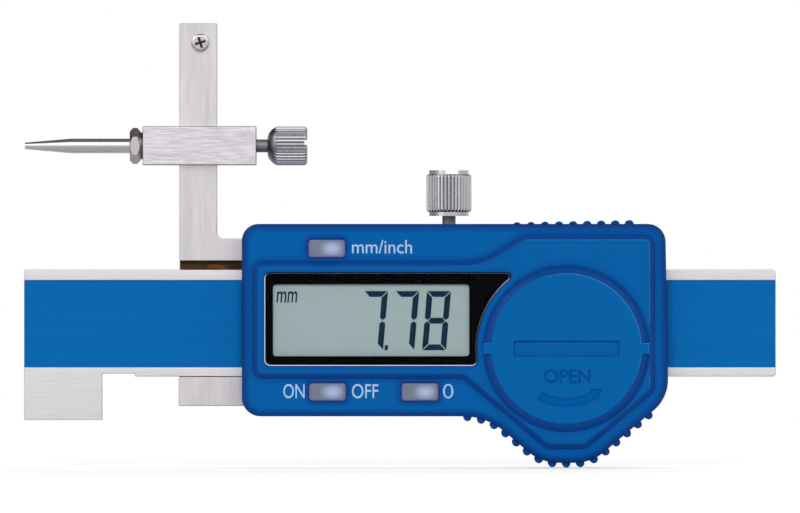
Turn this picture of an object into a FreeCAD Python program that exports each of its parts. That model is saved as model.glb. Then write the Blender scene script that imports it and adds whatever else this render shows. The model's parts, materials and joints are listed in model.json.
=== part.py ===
import FreeCAD, Part
import math
import os
from types import SimpleNamespace

import Sketcher

# Digital step gauge.
# Millimetres. X runs along the beam, Z is up, and the display looks towards -Y.
# The origin is the beam's ground left end, at mid height and mid thickness.
# "Front" values count from the beam's mid plane towards the display, so front = -Y.

DRIVING_SIZES = {
    "beam_length": 112.5,
    "beam_height": 16.0,
    "beam_thickness": 3.5,
    "foot_width": 11.7,
    "foot_drop": 6.5,
    "relief_width": 4.9,
    "relief_depth": 0.43,
    "label_width": 13.0,
    "label_top_margin": 1.6,
    "label_thickness": 0.2,
    "strip_thickness": 0.5,
    "stop_inset": 0.5,
    "stop_width": 4.5,
    "stop_height": 11.0,
    "stop_thickness": 1.8,
    "stop_screw_spacing": 6.0,
    "slide_clearance": 0.05,
    "seat_clearance": 0.02,
    "turn_clearance": 0.05,
    "slider_position": 23.15,
    "frame_length": 70.25,
    "board_gap": 0.25,
    "back_plate": 2.2,
    "lower_rail": 4.35,
    "upper_rail": 3.27,
    "gib_height": 1.3,
    "gib_inset": 0.2,
    "gib_setback": 0.8,
    "post_width": 5.65,
    "post_rise": 32.24,
    "post_thickness": 4.0,
    "post_foot_round": 0.9,
    "edge_break": 0.3,
    "corner_break": 0.12,
    "jaw_stand": 0.1,
    "housing_inset": 9.5,
    "housing_overhang": 2.5,
    "housing_flare": 0.45,
    "housing_top_lip": 2.2,
    "housing_bottom_lip": 1.5,
    "housing_wrap": 4.6,
    "housing_wall": 1.4,
    "cavity_depth": 6.2,
    "front_edge_round": 1.0,
    "top_left_round": 2.5,
    "top_right_round": 2.7,
    "bottom_left_round": 2.8,
    "bottom_right_round": 6.0,
    "bulge_margin": 4.69,
    "bulge_crown": 7.45,
    "bulge_round": 7.0,
    "bulge_foot_round": 9.5,
    "flank_angle": 40.0,
    "rib_thickness": 1.2,
    "rib_spacing": 4.2,
    "rib_rise": 0.3,
    "serration_radius": 0.62,
    "serration_pitch": 2.1,
    "serration_stand": 0.08,
    "plateau_rise": 0.8,
    "plateau_slope": 0.75,
    "plateau_margin": 1.6,
    "plateau_bulge_margin": 2.1,
    "button_strip_top": 5.54,
    "button_strip_bottom": 5.63,
    "shoulder_offset": 6.5,
    "shoulder_angle": 32.0,
    "shoulder_round": 3.1,
    "shoulder_foot_round": 9.0,
    "plateau_round": 1.5,
    "plateau_bulge_round": 2.0,
    "window_inset": 3.32,
    "window_drop": 7.21,
    "window_height": 14.03,
    "window_round": 0.9,
    "window_tip_round": 0.6,
    "window_cover_gap": 0.94,
    "window_thickness": 1.0,
    "window_recess": 0.2,
    "mask_thickness": 0.2,
    "view_inset": 1.33,
    "view_drop": 1.79,
    "view_right_margin": 1.16,
    "view_height": 10.75,
    "view_round": 0.5,
    "glass_margin": 1.0,
    "glass_thickness": 1.8,
    "glass_gap": 0.1,
    "ledge_reach": 0.5,
    "holder_wall": 1.0,
    "strip_width": 1.0,
    "strip_inset": 0.4,
    "board_thickness": 0.8,
    "board_margin": 0.35,
    "chip_radius": 4.0,
    "chip_top_radius": 2.8,
    "chip_height": 1.2,
    "cell_side_margin": 2.4,
    "cell_drop": 3.76,
    "cell_radius": 10.0,
    "cell_thickness": 3.2,
    "cell_gap": 0.35,
    "cell_step": 0.64,
    "cradle_gap": 0.2,
    "cradle_wall": 0.9,
    "cradle_height": 4.2,
    "contact_sheet": 0.2,
    "contact_width": 4.0,
    "cover_rim": 1.4,
    "cover_recess_gap": 0.1,
    "cover_stand": 0.5,
    "cover_slope": 1.2,
    "cover_slope_depth": 0.9,
    "cover_pad": 0.45,
    "ear_width": 1.7,
    "skirt_gap": 0.3,
    "skirt_wall": 0.7,
    "skirt_length": 2.35,
    "lug_reach": 0.9,
    "lug_width": 3.0,
    "lug_thickness": 0.7,
    "cover_turn": 60.0,
    "seal_thickness": 0.4,
    "coin_slot_length": 15.7,
    "coin_slot_width": 2.3,
    "coin_slot_depth": 0.8,
    "button_width": 5.45,
    "button_height": 2.6,
    "button_round": 0.5,
    "button_stand": 0.5,
    "button_gap": 0.12,
    "button_flange": 0.55,
    "button_flange_thickness": 0.7,
    "button_stem": 1.6,
    "button_travel": 0.4,
    "unit_button_inset": 12.69,
    "power_button_share": 0.351,
    "zero_button_share": 0.73,
    "button_edge_margin": 2.37,
    "switch_width": 3.4,
    "switch_height": 1.5,
    "switch_span": 2.4,
    "switch_plunger": 0.7,
    "switch_plunger_height": 0.3,
    "boss_radius": 2.2,
    "boss_left_inset": 4.85,
    "boss_right_inset": 3.4,
    "boss_button_gap": 6.75,
    "case_screw_radius": 0.8,
    "case_screw_grip": 4.5,
    "case_head_radius": 1.6,
    "case_head_height": 1.1,
    "board_screw_radius": 0.7,
    "board_screw_length": 2.6,
    "board_head_radius": 1.3,
    "board_head_height": 0.8,
    "slot_width": 0.45,
    "slot_depth": 0.4,
    "lock_inset": 30.95,
    "lock_stem_radius": 1.0,
    "lock_neck": 1.2,
    "lock_head_radius": 3.38,
    "lock_head_length": 6.84,
    "lock_shoulder_radius": 2.95,
    "lock_shoulder": 0.6,
    "lock_slot_width": 1.95,
    "lock_slot_offset": 0.45,
    "lock_slot_depth": 0.6,
    "lock_end_round": 0.4,
    "flute_depth": 0.2,
    "flute_width": 0.38,
    "gib_screw_radius": 1.0,
    "gib_screw_left_inset": 21.85,
    "gib_screw_right_inset": 9.4,
    "post_screw_drop": 2.9,
    "post_screw_radius": 0.8,
    "post_head_radius": 1.375,
    "post_head_height": 0.9,
    "cross_width": 0.38,
    "cross_reach": 0.83,
    "cross_depth": 0.45,
    "cross_turn": 17.6,
    "block_left": 5.39,
    "block_length": 17.02,
    "block_rise": 10.99,
    "block_height": 5.82,
    "block_depth": 8.0,
    "stylus_radius": 1.1,
    "stylus_tip_radius": 0.5,
    "stylus_taper": 6.9,
    "stylus_tip_inset": 0.1,
    "nut_across_corners": 5.4,
    "nut_thickness": 1.6,
    "nut_face": 0.36,
    "nut_bevel": 0.12,
    "clamp_stem_radius": 0.97,
    "clamp_neck": 1.62,
    "clamp_tip_gap": 0.32,
    "clamp_dome": 1.52,
    "clamp_dome_round": 2.1,
    "clamp_head_radius": 2.92,
    "clamp_head_length": 6.0,
    "clamp_slot_width": 0.72,
    "clamp_slot_offset": 0.5,
    "clamp_slot_depth": 0.45,
    "clamp_end_round": 0.55,
}

SERRATIONS_LEFT = 8
SERRATIONS_RIGHT = 7
TOP_SERRATIONS = 9
LOCK_FLUTES = 38
CLAMP_FLUTES = 34
SAME = 1e-4
SAME_LEVEL = 1e-3

doc = FreeCAD.newDocument("step_gauge")
sheet = doc.addObject("Spreadsheet::Sheet", "sizes")


class Size:
    """A length or an angle: its number, and the formula on the sheet that it comes from."""

    def __init__(self, number, formula):
        self.number = float(number)
        self.formula = formula

    def joined(self, sign, other, number):
        return Size(number, f"({self.formula} {sign} {other.formula})")

    def __add__(self, other):
        other = as_size(other)
        return self.joined("+", other, self.number + other.number)

    def __sub__(self, other):
        other = as_size(other)
        return self.joined("-", other, self.number - other.number)

    def __mul__(self, other):
        other = as_size(other)
        return self.joined("*", other, self.number * other.number)

    def __truediv__(self, other):
        other = as_size(other)
        return self.joined("/", other, self.number / other.number)

    def __neg__(self):
        return Size(0, "0") - self


def as_size(value):
    if isinstance(value, Size):
        return value
    return Size(value, repr(float(value)))


def tangent(angle):
    return Size(math.tan(math.radians(angle.number)), f"tan({angle.formula})")


def cosine(angle):
    return Size(math.cos(math.radians(angle.number)), f"cos({angle.formula})")


def root(value):
    return Size(math.sqrt(value.number), f"sqrt({value.formula})")


def fill_sheet():
    """Writes one row for each driving size, and gives the sizes back by name."""
    named = {}
    for row, (name, number) in enumerate(DRIVING_SIZES.items(), start=1):
        sheet.set(f"A{row}", name)
        sheet.set(f"B{row}", str(number))
        sheet.setAlias(f"B{row}", name)
        named[name] = Size(number, f"sizes.{name}")
    doc.recompute()
    return SimpleNamespace(**named)


size = fill_sheet()


# Levels and places that several pieces share
zero = as_size(0)
half_beam = size.beam_height / 2
half_thick = size.beam_thickness / 2
frame_front = half_thick + size.board_gap
channel_floor = -(half_thick + size.slide_clearance)
frame_back = channel_floor - size.back_plate
lower_rail_top = -(half_beam + size.slide_clearance)
frame_bottom = lower_rail_top - size.lower_rail
gib_bottom = half_beam + size.slide_clearance
gib_top = gib_bottom + size.gib_height
upper_rail_bottom = gib_top + size.seat_clearance
frame_top = upper_rail_bottom + size.upper_rail
frame_left = size.slider_position
frame_right = frame_left + size.frame_length
upper_rail_middle = upper_rail_bottom + size.upper_rail / 2
lower_rail_middle = lower_rail_top - size.lower_rail / 2
post_left = frame_left + size.jaw_stand
post_right = post_left + size.post_width
post_top = frame_top + size.post_rise
post_front = size.post_thickness / 2

housing_left = frame_left + size.housing_inset
housing_right = frame_right + size.housing_overhang
housing_top = frame_top + size.housing_top_lip
housing_bottom = frame_bottom - size.housing_bottom_lip
housing_rear = frame_front - size.housing_wrap
cavity_front = frame_front + size.cavity_depth
face_front = cavity_front + size.housing_wall
plateau_front = face_front + size.plateau_rise

board_front = frame_front + size.board_thickness
cell_z = -size.cell_drop
skirt_radius = size.cell_radius + size.skirt_gap + size.skirt_wall
cover_radius = skirt_radius + size.cover_rim
window_arc = cover_radius + size.window_cover_gap
bulge_drop = cover_radius + size.bulge_margin - (cell_z - housing_bottom)
cell_x = housing_right - size.cell_side_margin - cover_radius
crown_left = cell_x - size.bulge_crown / 2
crown_right = cell_x + size.bulge_crown / 2
bulge_foot = crown_left - bulge_drop / tangent(size.flank_angle)
button_strip = bulge_foot - housing_left
unit_button_x = housing_left + size.unit_button_inset
power_button_x = housing_left + button_strip * size.power_button_share
zero_button_x = housing_left + button_strip * size.zero_button_share
flange_front = cavity_front - size.button_gap

lock_x = housing_left + size.lock_inset
gib_screw_left_x = frame_left + size.gib_screw_left_inset
gib_screw_right_x = frame_right - size.gib_screw_right_inset
label_top = half_beam - size.label_top_margin
label_bottom = label_top - size.label_width
block_left = frame_left - size.block_left
block_right = block_left + size.block_length
block_bottom = frame_top + size.block_rise
stylus_z = block_bottom + size.block_height / 2


def bind(item, place, value):
    item.setExpression(place, as_size(value).formula)


def plane_of(body, role):
    return next(item for item in body.Origin.OriginFeatures if item.Role == role)


def new_body(label):
    body = doc.addObject("PartDesign::Body", label)
    body.Label = label
    return body


def new_sketch(body, role, along=zero, right=zero, up=zero):
    """A sketch on a base plane, moved along the plane's normal and in the plane."""
    sketch = body.newObject("Sketcher::SketchObject", "sketch")
    sketch.AttachmentSupport = [(plane_of(body, role), "")]
    sketch.MapMode = "FlatFace"
    bind(sketch, "AttachmentOffset.Base.x", right)
    bind(sketch, "AttachmentOffset.Base.y", up)
    bind(sketch, "AttachmentOffset.Base.z", along)
    return sketch


def turn_sketch(sketch, angle):
    """Turns a sketch about its own normal."""
    sketch.AttachmentOffset.Rotation = FreeCAD.Rotation(FreeCAD.Vector(0, 0, 1), angle.number)
    bind(sketch, "AttachmentOffset.Rotation.Angle", angle)


def fix_point(sketch, geometry, point, place):
    """Holds one point of a sketch at a place that the sheet gives."""
    for kind, value in (("DistanceX", place[0]), ("DistanceY", place[1])):
        value = as_size(value)
        number = sketch.addConstraint(Sketcher.Constraint(kind, -1, 1, geometry, point, value.number))
        bind(sketch, f"Constraints[{number}]", value)


def draw_loop(sketch, corners, bow=None):
    """A closed outline through the corners. bow = (corner, centre, radius) makes one side an arc."""
    points = [FreeCAD.Vector(as_size(x).number, as_size(z).number, 0) for x, z in corners]
    sides = []
    for index, start in enumerate(points):
        end = points[(index + 1) % len(points)]
        if bow and bow[0] == index:
            sides.append(sketch.addGeometry(bowed_side(start, end, bow[1], bow[2]), False))
        else:
            sides.append(sketch.addGeometry(Part.LineSegment(start, end), False))
    for index, side in enumerate(sides):
        following = sides[(index + 1) % len(sides)]
        sketch.addConstraint(Sketcher.Constraint("Coincident", side, 2, following, 1))
        fix_point(sketch, side, 1, corners[index])
    if bow:
        number = sketch.addConstraint(Sketcher.Constraint("Radius", sides[bow[0]], bow[2].number))
        bind(sketch, f"Constraints[{number}]", bow[2])


def bowed_side(start, end, centre, radius):
    """The arc of a circle that runs counter-clockwise from start to end."""
    middle = FreeCAD.Vector(as_size(centre[0]).number, as_size(centre[1]).number, 0)
    circle = Part.Circle(middle, FreeCAD.Vector(0, 0, 1), radius.number)
    return Part.ArcOfCircle(circle, circle.parameter(start), circle.parameter(end))


def rectangle(left, bottom, right, top):
    return [(left, bottom), (right, bottom), (right, top), (left, top)]


def draw_circle(sketch, x, z, radius):
    x, z, radius = as_size(x), as_size(z), as_size(radius)
    circle = Part.Circle(FreeCAD.Vector(x.number, z.number, 0), FreeCAD.Vector(0, 0, 1), radius.number)
    geometry = sketch.addGeometry(circle, False)
    number = sketch.addConstraint(Sketcher.Constraint("Radius", geometry, radius.number))
    bind(sketch, f"Constraints[{number}]", radius)
    fix_point(sketch, geometry, 3, (x, z))


def pad(body, sketch, length):
    feature = body.newObject("PartDesign::Pad", "pad")
    feature.Profile = sketch
    bind(feature, "Length", length)
    doc.recompute()
    return feature


def pocket(body, sketch, depth, forward=False):
    """Cuts against the sketch's normal, or along it when forward, and makes sure that it cut."""
    before = body.Shape.Volume
    feature = body.newObject("PartDesign::Pocket", "pocket")
    feature.Profile = sketch
    feature.Reversed = forward
    bind(feature, "Length", depth)
    doc.recompute()
    if body.Shape.Volume > before - SAME:
        raise RuntimeError(f"{body.Label}: a pocket cut nothing")
    return feature


def revolve(body, sketch, axis):
    feature = body.newObject("PartDesign::Revolution", "turned")
    feature.Profile = sketch
    feature.ReferenceAxis = (sketch, [axis])
    feature.Angle = 360.0
    doc.recompute()
    return feature


def turn_away(body, sketch, axis):
    """Cuts a turned groove, and makes sure that it cut."""
    before = body.Shape.Volume
    feature = body.newObject("PartDesign::Groove", "turned_away")
    feature.Profile = sketch
    feature.ReferenceAxis = (sketch, [axis])
    feature.Angle = 360.0
    doc.recompute()
    if body.Shape.Volume > before - SAME:
        raise RuntimeError(f"{body.Label}: a groove cut nothing")
    return feature


def edge_names(feature, test):
    names = []
    for number, edge in enumerate(feature.Shape.Edges, start=1):
        if test(edge):
            names.append(f"Edge{number}")
    if not names:
        raise RuntimeError(f"{feature.Label}: no edge found to work on")
    return names


def corner_test(corners, first, second):
    """True for a straight edge that runs across the plane of two axes at one of the corners."""
    places = [(as_size(a).number, as_size(b).number) for a, b in corners]

    def test(edge):
        start, end = edge.Vertexes[0].Point, edge.Vertexes[-1].Point
        if abs(start[first] - end[first]) > SAME or abs(start[second] - end[second]) > SAME:
            return False
        if (start - end).Length < SAME:
            return False
        return any(math.hypot(start[first] - a, start[second] - b) < SAME for a, b in places)

    return test


def level_test(axis, level):
    """True for an edge that lies whole in the plane where the axis has this level."""
    def test(edge):
        box = edge.BoundBox
        low = (box.XMin, box.YMin, box.ZMin)[axis]
        high = (box.XMax, box.YMax, box.ZMax)[axis]
        return abs(low - level.number) < SAME_LEVEL and abs(high - level.number) < SAME_LEVEL

    return test


def rim_test(axis, level, radius):
    """True for a round edge of this radius in the plane where the axis has this level."""
    in_plane = level_test(axis, level)

    def test(edge):
        round_rim = isinstance(edge.Curve, Part.Circle)
        return round_rim and abs(edge.Curve.Radius - radius.number) < SAME_LEVEL and in_plane(edge)

    return test


def round_edges(body, test, radius):
    base = body.Tip
    feature = body.newObject("PartDesign::Fillet", "round")
    feature.Base = (base, edge_names(base, test))
    bind(feature, "Radius", radius)
    doc.recompute()
    return feature


def bevel_edges(body, test, first, second=None):
    base = body.Tip
    feature = body.newObject("PartDesign::Chamfer", "bevel")
    feature.Base = (base, edge_names(base, test))
    bind(feature, "Size", first)
    if second is not None:
        feature.ChamferType = "Two distances"
        bind(feature, "Size2", second)
    doc.recompute()
    return feature


def plate(label, outline, back, front):
    """A flat piece of one outline seen from the front, between two depths."""
    body = new_body(label)
    sketch = new_sketch(body, "XZ_Plane", along=back)
    draw_loop(sketch, outline)
    pad(body, sketch, front - back)
    return body


def upright_holes(body, places, radius, top, depth):
    """Round holes bored down from the top."""
    sketch = new_sketch(body, "XY_Plane", along=top)
    for x, y in places:
        draw_circle(sketch, x, y, radius)
    return pocket(body, sketch, depth)


def front_holes(body, places, radius, start, depth, forward=False):
    """Round holes bored from the front, or from the back when forward."""
    sketch = new_sketch(body, "XZ_Plane", along=start)
    for x, z in places:
        draw_circle(sketch, x, z, radius)
    return pocket(body, sketch, depth, forward)


def cylinder(x, z, front, radius, length):
    """A round bar that runs from a depth towards the front."""
    item = doc.addObject("Part::Cylinder", "bar")
    item.Placement.Rotation = FreeCAD.Rotation(FreeCAD.Vector(1, 0, 0), 90)
    bind(item, "Radius", radius)
    bind(item, "Height", length)
    bind(item, "Placement.Base.x", x)
    bind(item, "Placement.Base.y", -as_size(front))
    bind(item, "Placement.Base.z", z)
    return item


def box(left, front, bottom, width, depth, height):
    """A block whose front face is at a depth and which runs back from there."""
    item = doc.addObject("Part::Box", "block")
    bind(item, "Length", width)
    bind(item, "Width", depth)
    bind(item, "Height", height)
    bind(item, "Placement.Base.x", left)
    bind(item, "Placement.Base.y", -as_size(front))
    bind(item, "Placement.Base.z", bottom)
    return item


def fuse(items):
    item = doc.addObject("Part::MultiFuse", "fused")
    item.Shapes = items
    return item


def cut(base, tool):
    item = doc.addObject("Part::Cut", "cut")
    item.Base = base
    item.Tool = tool
    return item


def group(label, items):
    item = doc.addObject("Part::Compound", label)
    item.Label = label
    item.Links = items
    return item


# Beam with its foot, the measuring strip and the cover film

def make_beam():
    foot_bottom = -(half_beam + size.foot_drop)
    relief_right = size.foot_width + size.relief_width
    relief_top = size.relief_depth - half_beam
    body = new_body("beam")
    sketch = new_sketch(body, "XZ_Plane", along=-half_thick)
    draw_loop(sketch, [
        (zero, foot_bottom), (size.foot_width, foot_bottom), (size.foot_width, relief_top),
        (relief_right, relief_top), (relief_right, -half_beam), (size.beam_length, -half_beam),
        (size.beam_length, half_beam), (zero, half_beam)])
    pad(body, sketch, size.beam_thickness)
    strip = new_sketch(body, "XZ_Plane", along=half_thick)
    draw_loop(strip, rectangle(zero, label_bottom, size.beam_length, label_top))
    pocket(body, strip, size.strip_thickness + size.label_thickness)
    front_holes(body, stop_screw_places(), size.board_screw_radius + size.seat_clearance,
                -half_thick, size.beam_thickness - size.strip_thickness - size.label_thickness
                - size.edge_break, forward=True)
    bevel_edges(body, corner_test([(size.beam_length, half_beam), (size.beam_length, -half_beam)], 0, 2),
                size.edge_break)
    return body


def make_scale_strip():
    front = half_thick - size.label_thickness
    outline = rectangle(zero, label_bottom, size.beam_length, label_top)
    return plate("scale_strip", outline, front - size.strip_thickness, front)


def make_beam_label():
    outline = rectangle(zero, label_bottom, size.beam_length, label_top)
    return plate("beam_label", outline, half_thick - size.label_thickness, half_thick)


def stop_screw_places():
    x = size.beam_length - size.stop_inset - size.stop_width / 2
    reach = size.stop_screw_spacing / 2
    return [(x, -reach), (x, reach)]


def make_end_stop():
    right = size.beam_length - size.stop_inset
    reach = size.stop_height / 2
    back = -half_thick - size.stop_thickness
    body = plate("end_stop", rectangle(right - size.stop_width, -reach, right, reach), back, -half_thick)
    radius = size.board_screw_radius + size.turn_clearance
    front_holes(body, stop_screw_places(), radius, -half_thick, size.stop_thickness)
    bevel_edges(body, level_test(1, -back), size.edge_break)
    return body


def make_end_stop_screws():
    """Two slotted screws driven from the back, whose heads stand on the stop."""
    head_back = -half_thick - size.stop_thickness - size.board_head_height
    shank = size.stop_thickness + size.strip_thickness + size.label_thickness
    screws = []
    for x, z in stop_screw_places():
        head = cylinder(x, z, head_back, size.board_head_radius, size.board_head_height)
        stem = cylinder(x, z, head_back + size.board_head_height, size.board_screw_radius, shank)
        screws.append(cut(fuse([head, stem]), back_slot(x, z, head_back, size.board_head_radius)))
    return group("end_stop_screws", screws)


def back_slot(x, z, head_back, radius):
    """The cutter for a driver slot in a head that faces the back."""
    front = head_back + size.slot_depth
    return box(x - radius, front, as_size(z) - size.slot_width / 2, radius * 2, size.slot_depth,
               size.slot_width)


def front_slot(x, z, head_front, radius):
    """The cutter for a driver slot in a head that faces the front."""
    return box(x - radius, head_front, as_size(z) - size.slot_width / 2, radius * 2, size.slot_depth,
               size.slot_width)


# Slider: the milled frame with its rails and post, and the gib

def case_screw_places():
    left = housing_left + size.boss_left_inset
    high_right = frame_right - size.boss_right_inset
    low_right = zero_button_x + size.boss_button_gap
    return [
        (left, upper_rail_middle), (high_right, upper_rail_middle),
        (left, lower_rail_middle), (low_right, lower_rail_middle)]


def board_screw_places():
    left = (unit_button_x + lock_x) / 2
    right = (lock_x + gib_screw_right_x) / 2
    low = (power_button_x + zero_button_x) / 2
    return [(left, upper_rail_middle), (right, upper_rail_middle), (low, lower_rail_middle)]


def post_screw_place():
    return ((post_left + post_right) / 2 + size.edge_break, post_top - size.post_screw_drop)


def make_slider_frame():
    """Rails, back plate and post in one piece. The lower rail's ground jaw face stands out a little."""
    body = new_body("slider_frame")
    sketch = new_sketch(body, "XZ_Plane", along=frame_back)
    draw_loop(sketch, [
        (frame_left, frame_bottom), (frame_right, frame_bottom), (frame_right, frame_top),
        (post_right, frame_top), (post_right, post_top), (post_left, post_top),
        (post_left, lower_rail_top), (frame_left, lower_rail_top)])
    pad(body, sketch, frame_front - frame_back)
    round_edges(body, corner_test([(post_right, frame_top)], 0, 2), size.post_foot_round)
    channel = new_sketch(body, "XZ_Plane", along=frame_front)
    draw_loop(channel, rectangle(frame_left, lower_rail_top, frame_right, upper_rail_bottom))
    pocket(body, channel, frame_front - channel_floor)
    thinned = new_sketch(body, "XZ_Plane", along=frame_back)
    thinned_top = post_top + size.edge_break
    draw_loop(thinned, rectangle(frame_left, frame_top, post_right + size.post_foot_round, thinned_top))
    pocket(body, thinned, -post_front - frame_back, forward=True)
    bore_slider_frame(body)
    ends = [(post_left, post_top), (post_right, post_top), (frame_left, frame_bottom),
            (frame_right, frame_bottom), (frame_right, frame_top)]
    bevel_edges(body, corner_test(ends, 0, 2), size.corner_break)
    return body


def bore_slider_frame(body):
    """The threaded and clearance holes, and the counterbores for the case screws."""
    thread = size.lock_stem_radius + size.turn_clearance
    upright_holes(body, [(lock_x, zero)], thread, frame_top, size.upper_rail)
    gib_thread = size.gib_screw_radius + size.turn_clearance
    places = [(gib_screw_left_x, zero), (gib_screw_right_x, zero)]
    upright_holes(body, places, gib_thread, frame_top, size.upper_rail)
    front_holes(body, case_screw_places(), size.case_screw_radius + size.turn_clearance,
                frame_back, frame_front - frame_back, forward=True)
    front_holes(body, case_screw_places(), size.case_head_radius + size.turn_clearance,
                frame_back, size.case_head_height + size.edge_break, forward=True)
    front_holes(body, board_screw_places(), size.board_screw_radius + size.seat_clearance,
                frame_front, size.board_screw_length)
    front_holes(body, [post_screw_place()], size.post_screw_radius + size.seat_clearance,
                post_front, size.post_thickness - size.edge_break)


def make_gib():
    front = frame_front - size.gib_setback
    outline = rectangle(frame_left + size.gib_inset, gib_bottom, frame_right - size.gib_inset, gib_top)
    return plate("gib", outline, channel_floor + size.slide_clearance, front)


def make_gib_screws():
    """Two slotted set screws that press on the gib from the upper rail."""
    screws = []
    for x in (gib_screw_left_x, gib_screw_right_x):
        stem = doc.addObject("Part::Cylinder", "set_screw")
        bind(stem, "Radius", size.gib_screw_radius)
        bind(stem, "Height", size.upper_rail - size.edge_break)
        bind(stem, "Placement.Base.x", x)
        bind(stem, "Placement.Base.z", upper_rail_bottom)
        top = upper_rail_bottom + size.upper_rail - size.edge_break
        notch = box(x - size.gib_screw_radius, size.slot_width / 2, top - size.slot_depth,
                    size.gib_screw_radius * 2, size.slot_width, size.slot_depth)
        screws.append(cut(stem, notch))
    return group("gib_screws", screws)


def make_post_stop_screw():
    """The cross-headed screw near the top of the post that keeps the block from sliding off."""
    x, z = post_screw_place()
    body = new_body("post_stop_screw")
    sketch = new_sketch(body, "XY_Plane", along=z, right=x)
    shank_end = post_front - size.post_thickness + size.edge_break * 2
    draw_loop(sketch, [
        (zero, -shank_end), (size.post_screw_radius, -shank_end), (size.post_screw_radius, -post_front),
        (size.post_head_radius, -post_front), (size.post_head_radius, -(post_front + size.post_head_height)),
        (zero, -(post_front + size.post_head_height))])
    revolve(body, sketch, "V_Axis")
    round_edges(body, level_test(1, -(post_front + size.post_head_height)), size.post_head_height / 2)
    arm = size.cross_reach
    cross = size.cross_width / 2
    recess = new_sketch(body, "XZ_Plane", along=post_front + size.post_head_height, right=x, up=z)
    turn_sketch(recess, size.cross_turn)
    draw_loop(recess, [
        (-arm, -cross), (-cross, -cross), (-cross, -arm), (cross, -arm), (cross, -cross), (arm, -cross),
        (arm, cross), (cross, cross), (cross, arm), (-cross, arm), (-cross, cross), (-arm, cross)])
    pocket(body, recess, size.cross_depth)
    return body


# Housing: the moulded case of the display unit

crown_z = housing_bottom - bulge_drop
flank_tangent = tangent(size.flank_angle)
half_flank_tangent = tangent(size.flank_angle / 2)
flare_right = housing_right + size.housing_flare


def flank_z(x, inward):
    """The height of the right flank at x, moved inward by a distance."""
    return crown_z + (x - crown_right) * flank_tangent + inward / cosine(size.flank_angle)


def case_outline(inward):
    """The case's outline seen from the front, with sharp corners, moved inward by a distance."""
    low = housing_bottom + inward
    left_foot = bulge_foot + inward * half_flank_tangent
    right = flare_right - inward
    return [
        (housing_left + inward, low), (left_foot, low),
        (crown_left + inward * half_flank_tangent, crown_z + inward),
        (crown_right - inward * half_flank_tangent, crown_z + inward),
        (right, flank_z(right, inward)), (housing_right - inward, housing_top - inward),
        (housing_left + inward, housing_top - inward)]


def plateau_outline():
    """The raised field around the window and the battery cover."""
    margin = size.plateau_margin
    deep = size.plateau_bulge_margin
    low = housing_bottom + size.button_strip_bottom
    high = housing_top - margin
    step = housing_top - size.button_strip_top
    right = housing_right - margin
    shoulder = cell_x - size.shoulder_offset
    low_corner = crown_left - (low - crown_z - deep / cosine(size.flank_angle)) / flank_tangent
    return [
        (housing_left + margin, low), (low_corner, low),
        (crown_left + deep * half_flank_tangent, crown_z + deep),
        (crown_right - deep * half_flank_tangent, crown_z + deep),
        (right, flank_z(right, deep)), (right, high), (shoulder, high),
        (shoulder - (high - step) / tangent(size.shoulder_angle), step),
        (housing_left + margin, step)]


def window_outline(inward, side):
    """The window's corners, with a right side that follows the battery cover. side = arc radius."""
    left = housing_left + size.window_inset + inward
    top = housing_top - size.window_drop - inward
    bottom = housing_top - size.window_drop - size.window_height + inward
    top_reach = root(side * side - (top - cell_z) * (top - cell_z))
    bottom_reach = root(side * side - (bottom - cell_z) * (bottom - cell_z))
    return [(left, bottom), (left, top), (cell_x - top_reach, top), (cell_x - bottom_reach, bottom)]


def draw_window(sketch, inward):
    side = window_arc + inward
    corners = window_outline(inward, side)
    draw_loop(sketch, corners, bow=(2, (cell_x, cell_z), side))
    return corners


def round_window_corners(body, corners):
    """The sharp tip beside the battery cover has a smaller round than the other corners."""
    tip = corners.pop(2)
    round_edges(body, corner_test(corners, 0, 2), size.window_round)
    round_edges(body, corner_test([tip], 0, 2), size.window_tip_round)


def view_rectangle(grow):
    """The visible field of the display, grown on every side."""
    left = housing_left + size.window_inset + size.view_inset
    right = cell_x - window_arc - size.view_right_margin
    top = housing_top - size.window_drop - size.view_drop
    return rectangle(left - grow, top - size.view_height - grow, right + grow, top + grow)


def make_housing():
    body = new_body("housing")
    shell = case_outline(zero)
    sketch = new_sketch(body, "XZ_Plane", along=housing_rear)
    draw_loop(sketch, shell)
    pad(body, sketch, face_front - housing_rear)
    round_edges(body, corner_test([shell[0]], 0, 2), size.bottom_left_round)
    round_edges(body, corner_test([shell[1]], 0, 2), size.bulge_foot_round)
    round_edges(body, corner_test([shell[2], shell[3]], 0, 2), size.bulge_round)
    round_edges(body, corner_test([shell[4]], 0, 2), size.bottom_right_round)
    round_edges(body, corner_test([shell[5]], 0, 2), size.top_right_round)
    round_edges(body, corner_test([shell[6]], 0, 2), size.top_left_round)
    round_edges(body, level_test(1, -face_front), size.front_edge_round)
    raise_plateau(body)
    add_serrations(body)
    hollow_housing(body)
    add_bosses_and_ribs(body)
    open_window(body)
    open_battery_well(body)
    open_buttons(body)
    lock_hole = size.lock_stem_radius + size.button_gap
    upright_holes(body, [(lock_x, zero)], lock_hole, housing_top, size.housing_wall * 2)
    return body


def raise_plateau(body):
    corners = plateau_outline()
    sketch = new_sketch(body, "XZ_Plane", along=face_front)
    draw_loop(sketch, corners)
    pad(body, sketch, size.plateau_rise)
    round_edges(body, corner_test([corners[0], corners[5], corners[8], corners[1]], 0, 2),
                size.plateau_round)
    round_edges(body, corner_test([corners[2], corners[3], corners[4]], 0, 2), size.plateau_bulge_round)
    round_edges(body, corner_test([corners[6]], 0, 2), size.shoulder_round)
    round_edges(body, corner_test([corners[7]], 0, 2), size.shoulder_foot_round)
    bevel_edges(body, level_test(1, -plateau_front), size.plateau_slope)


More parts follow.
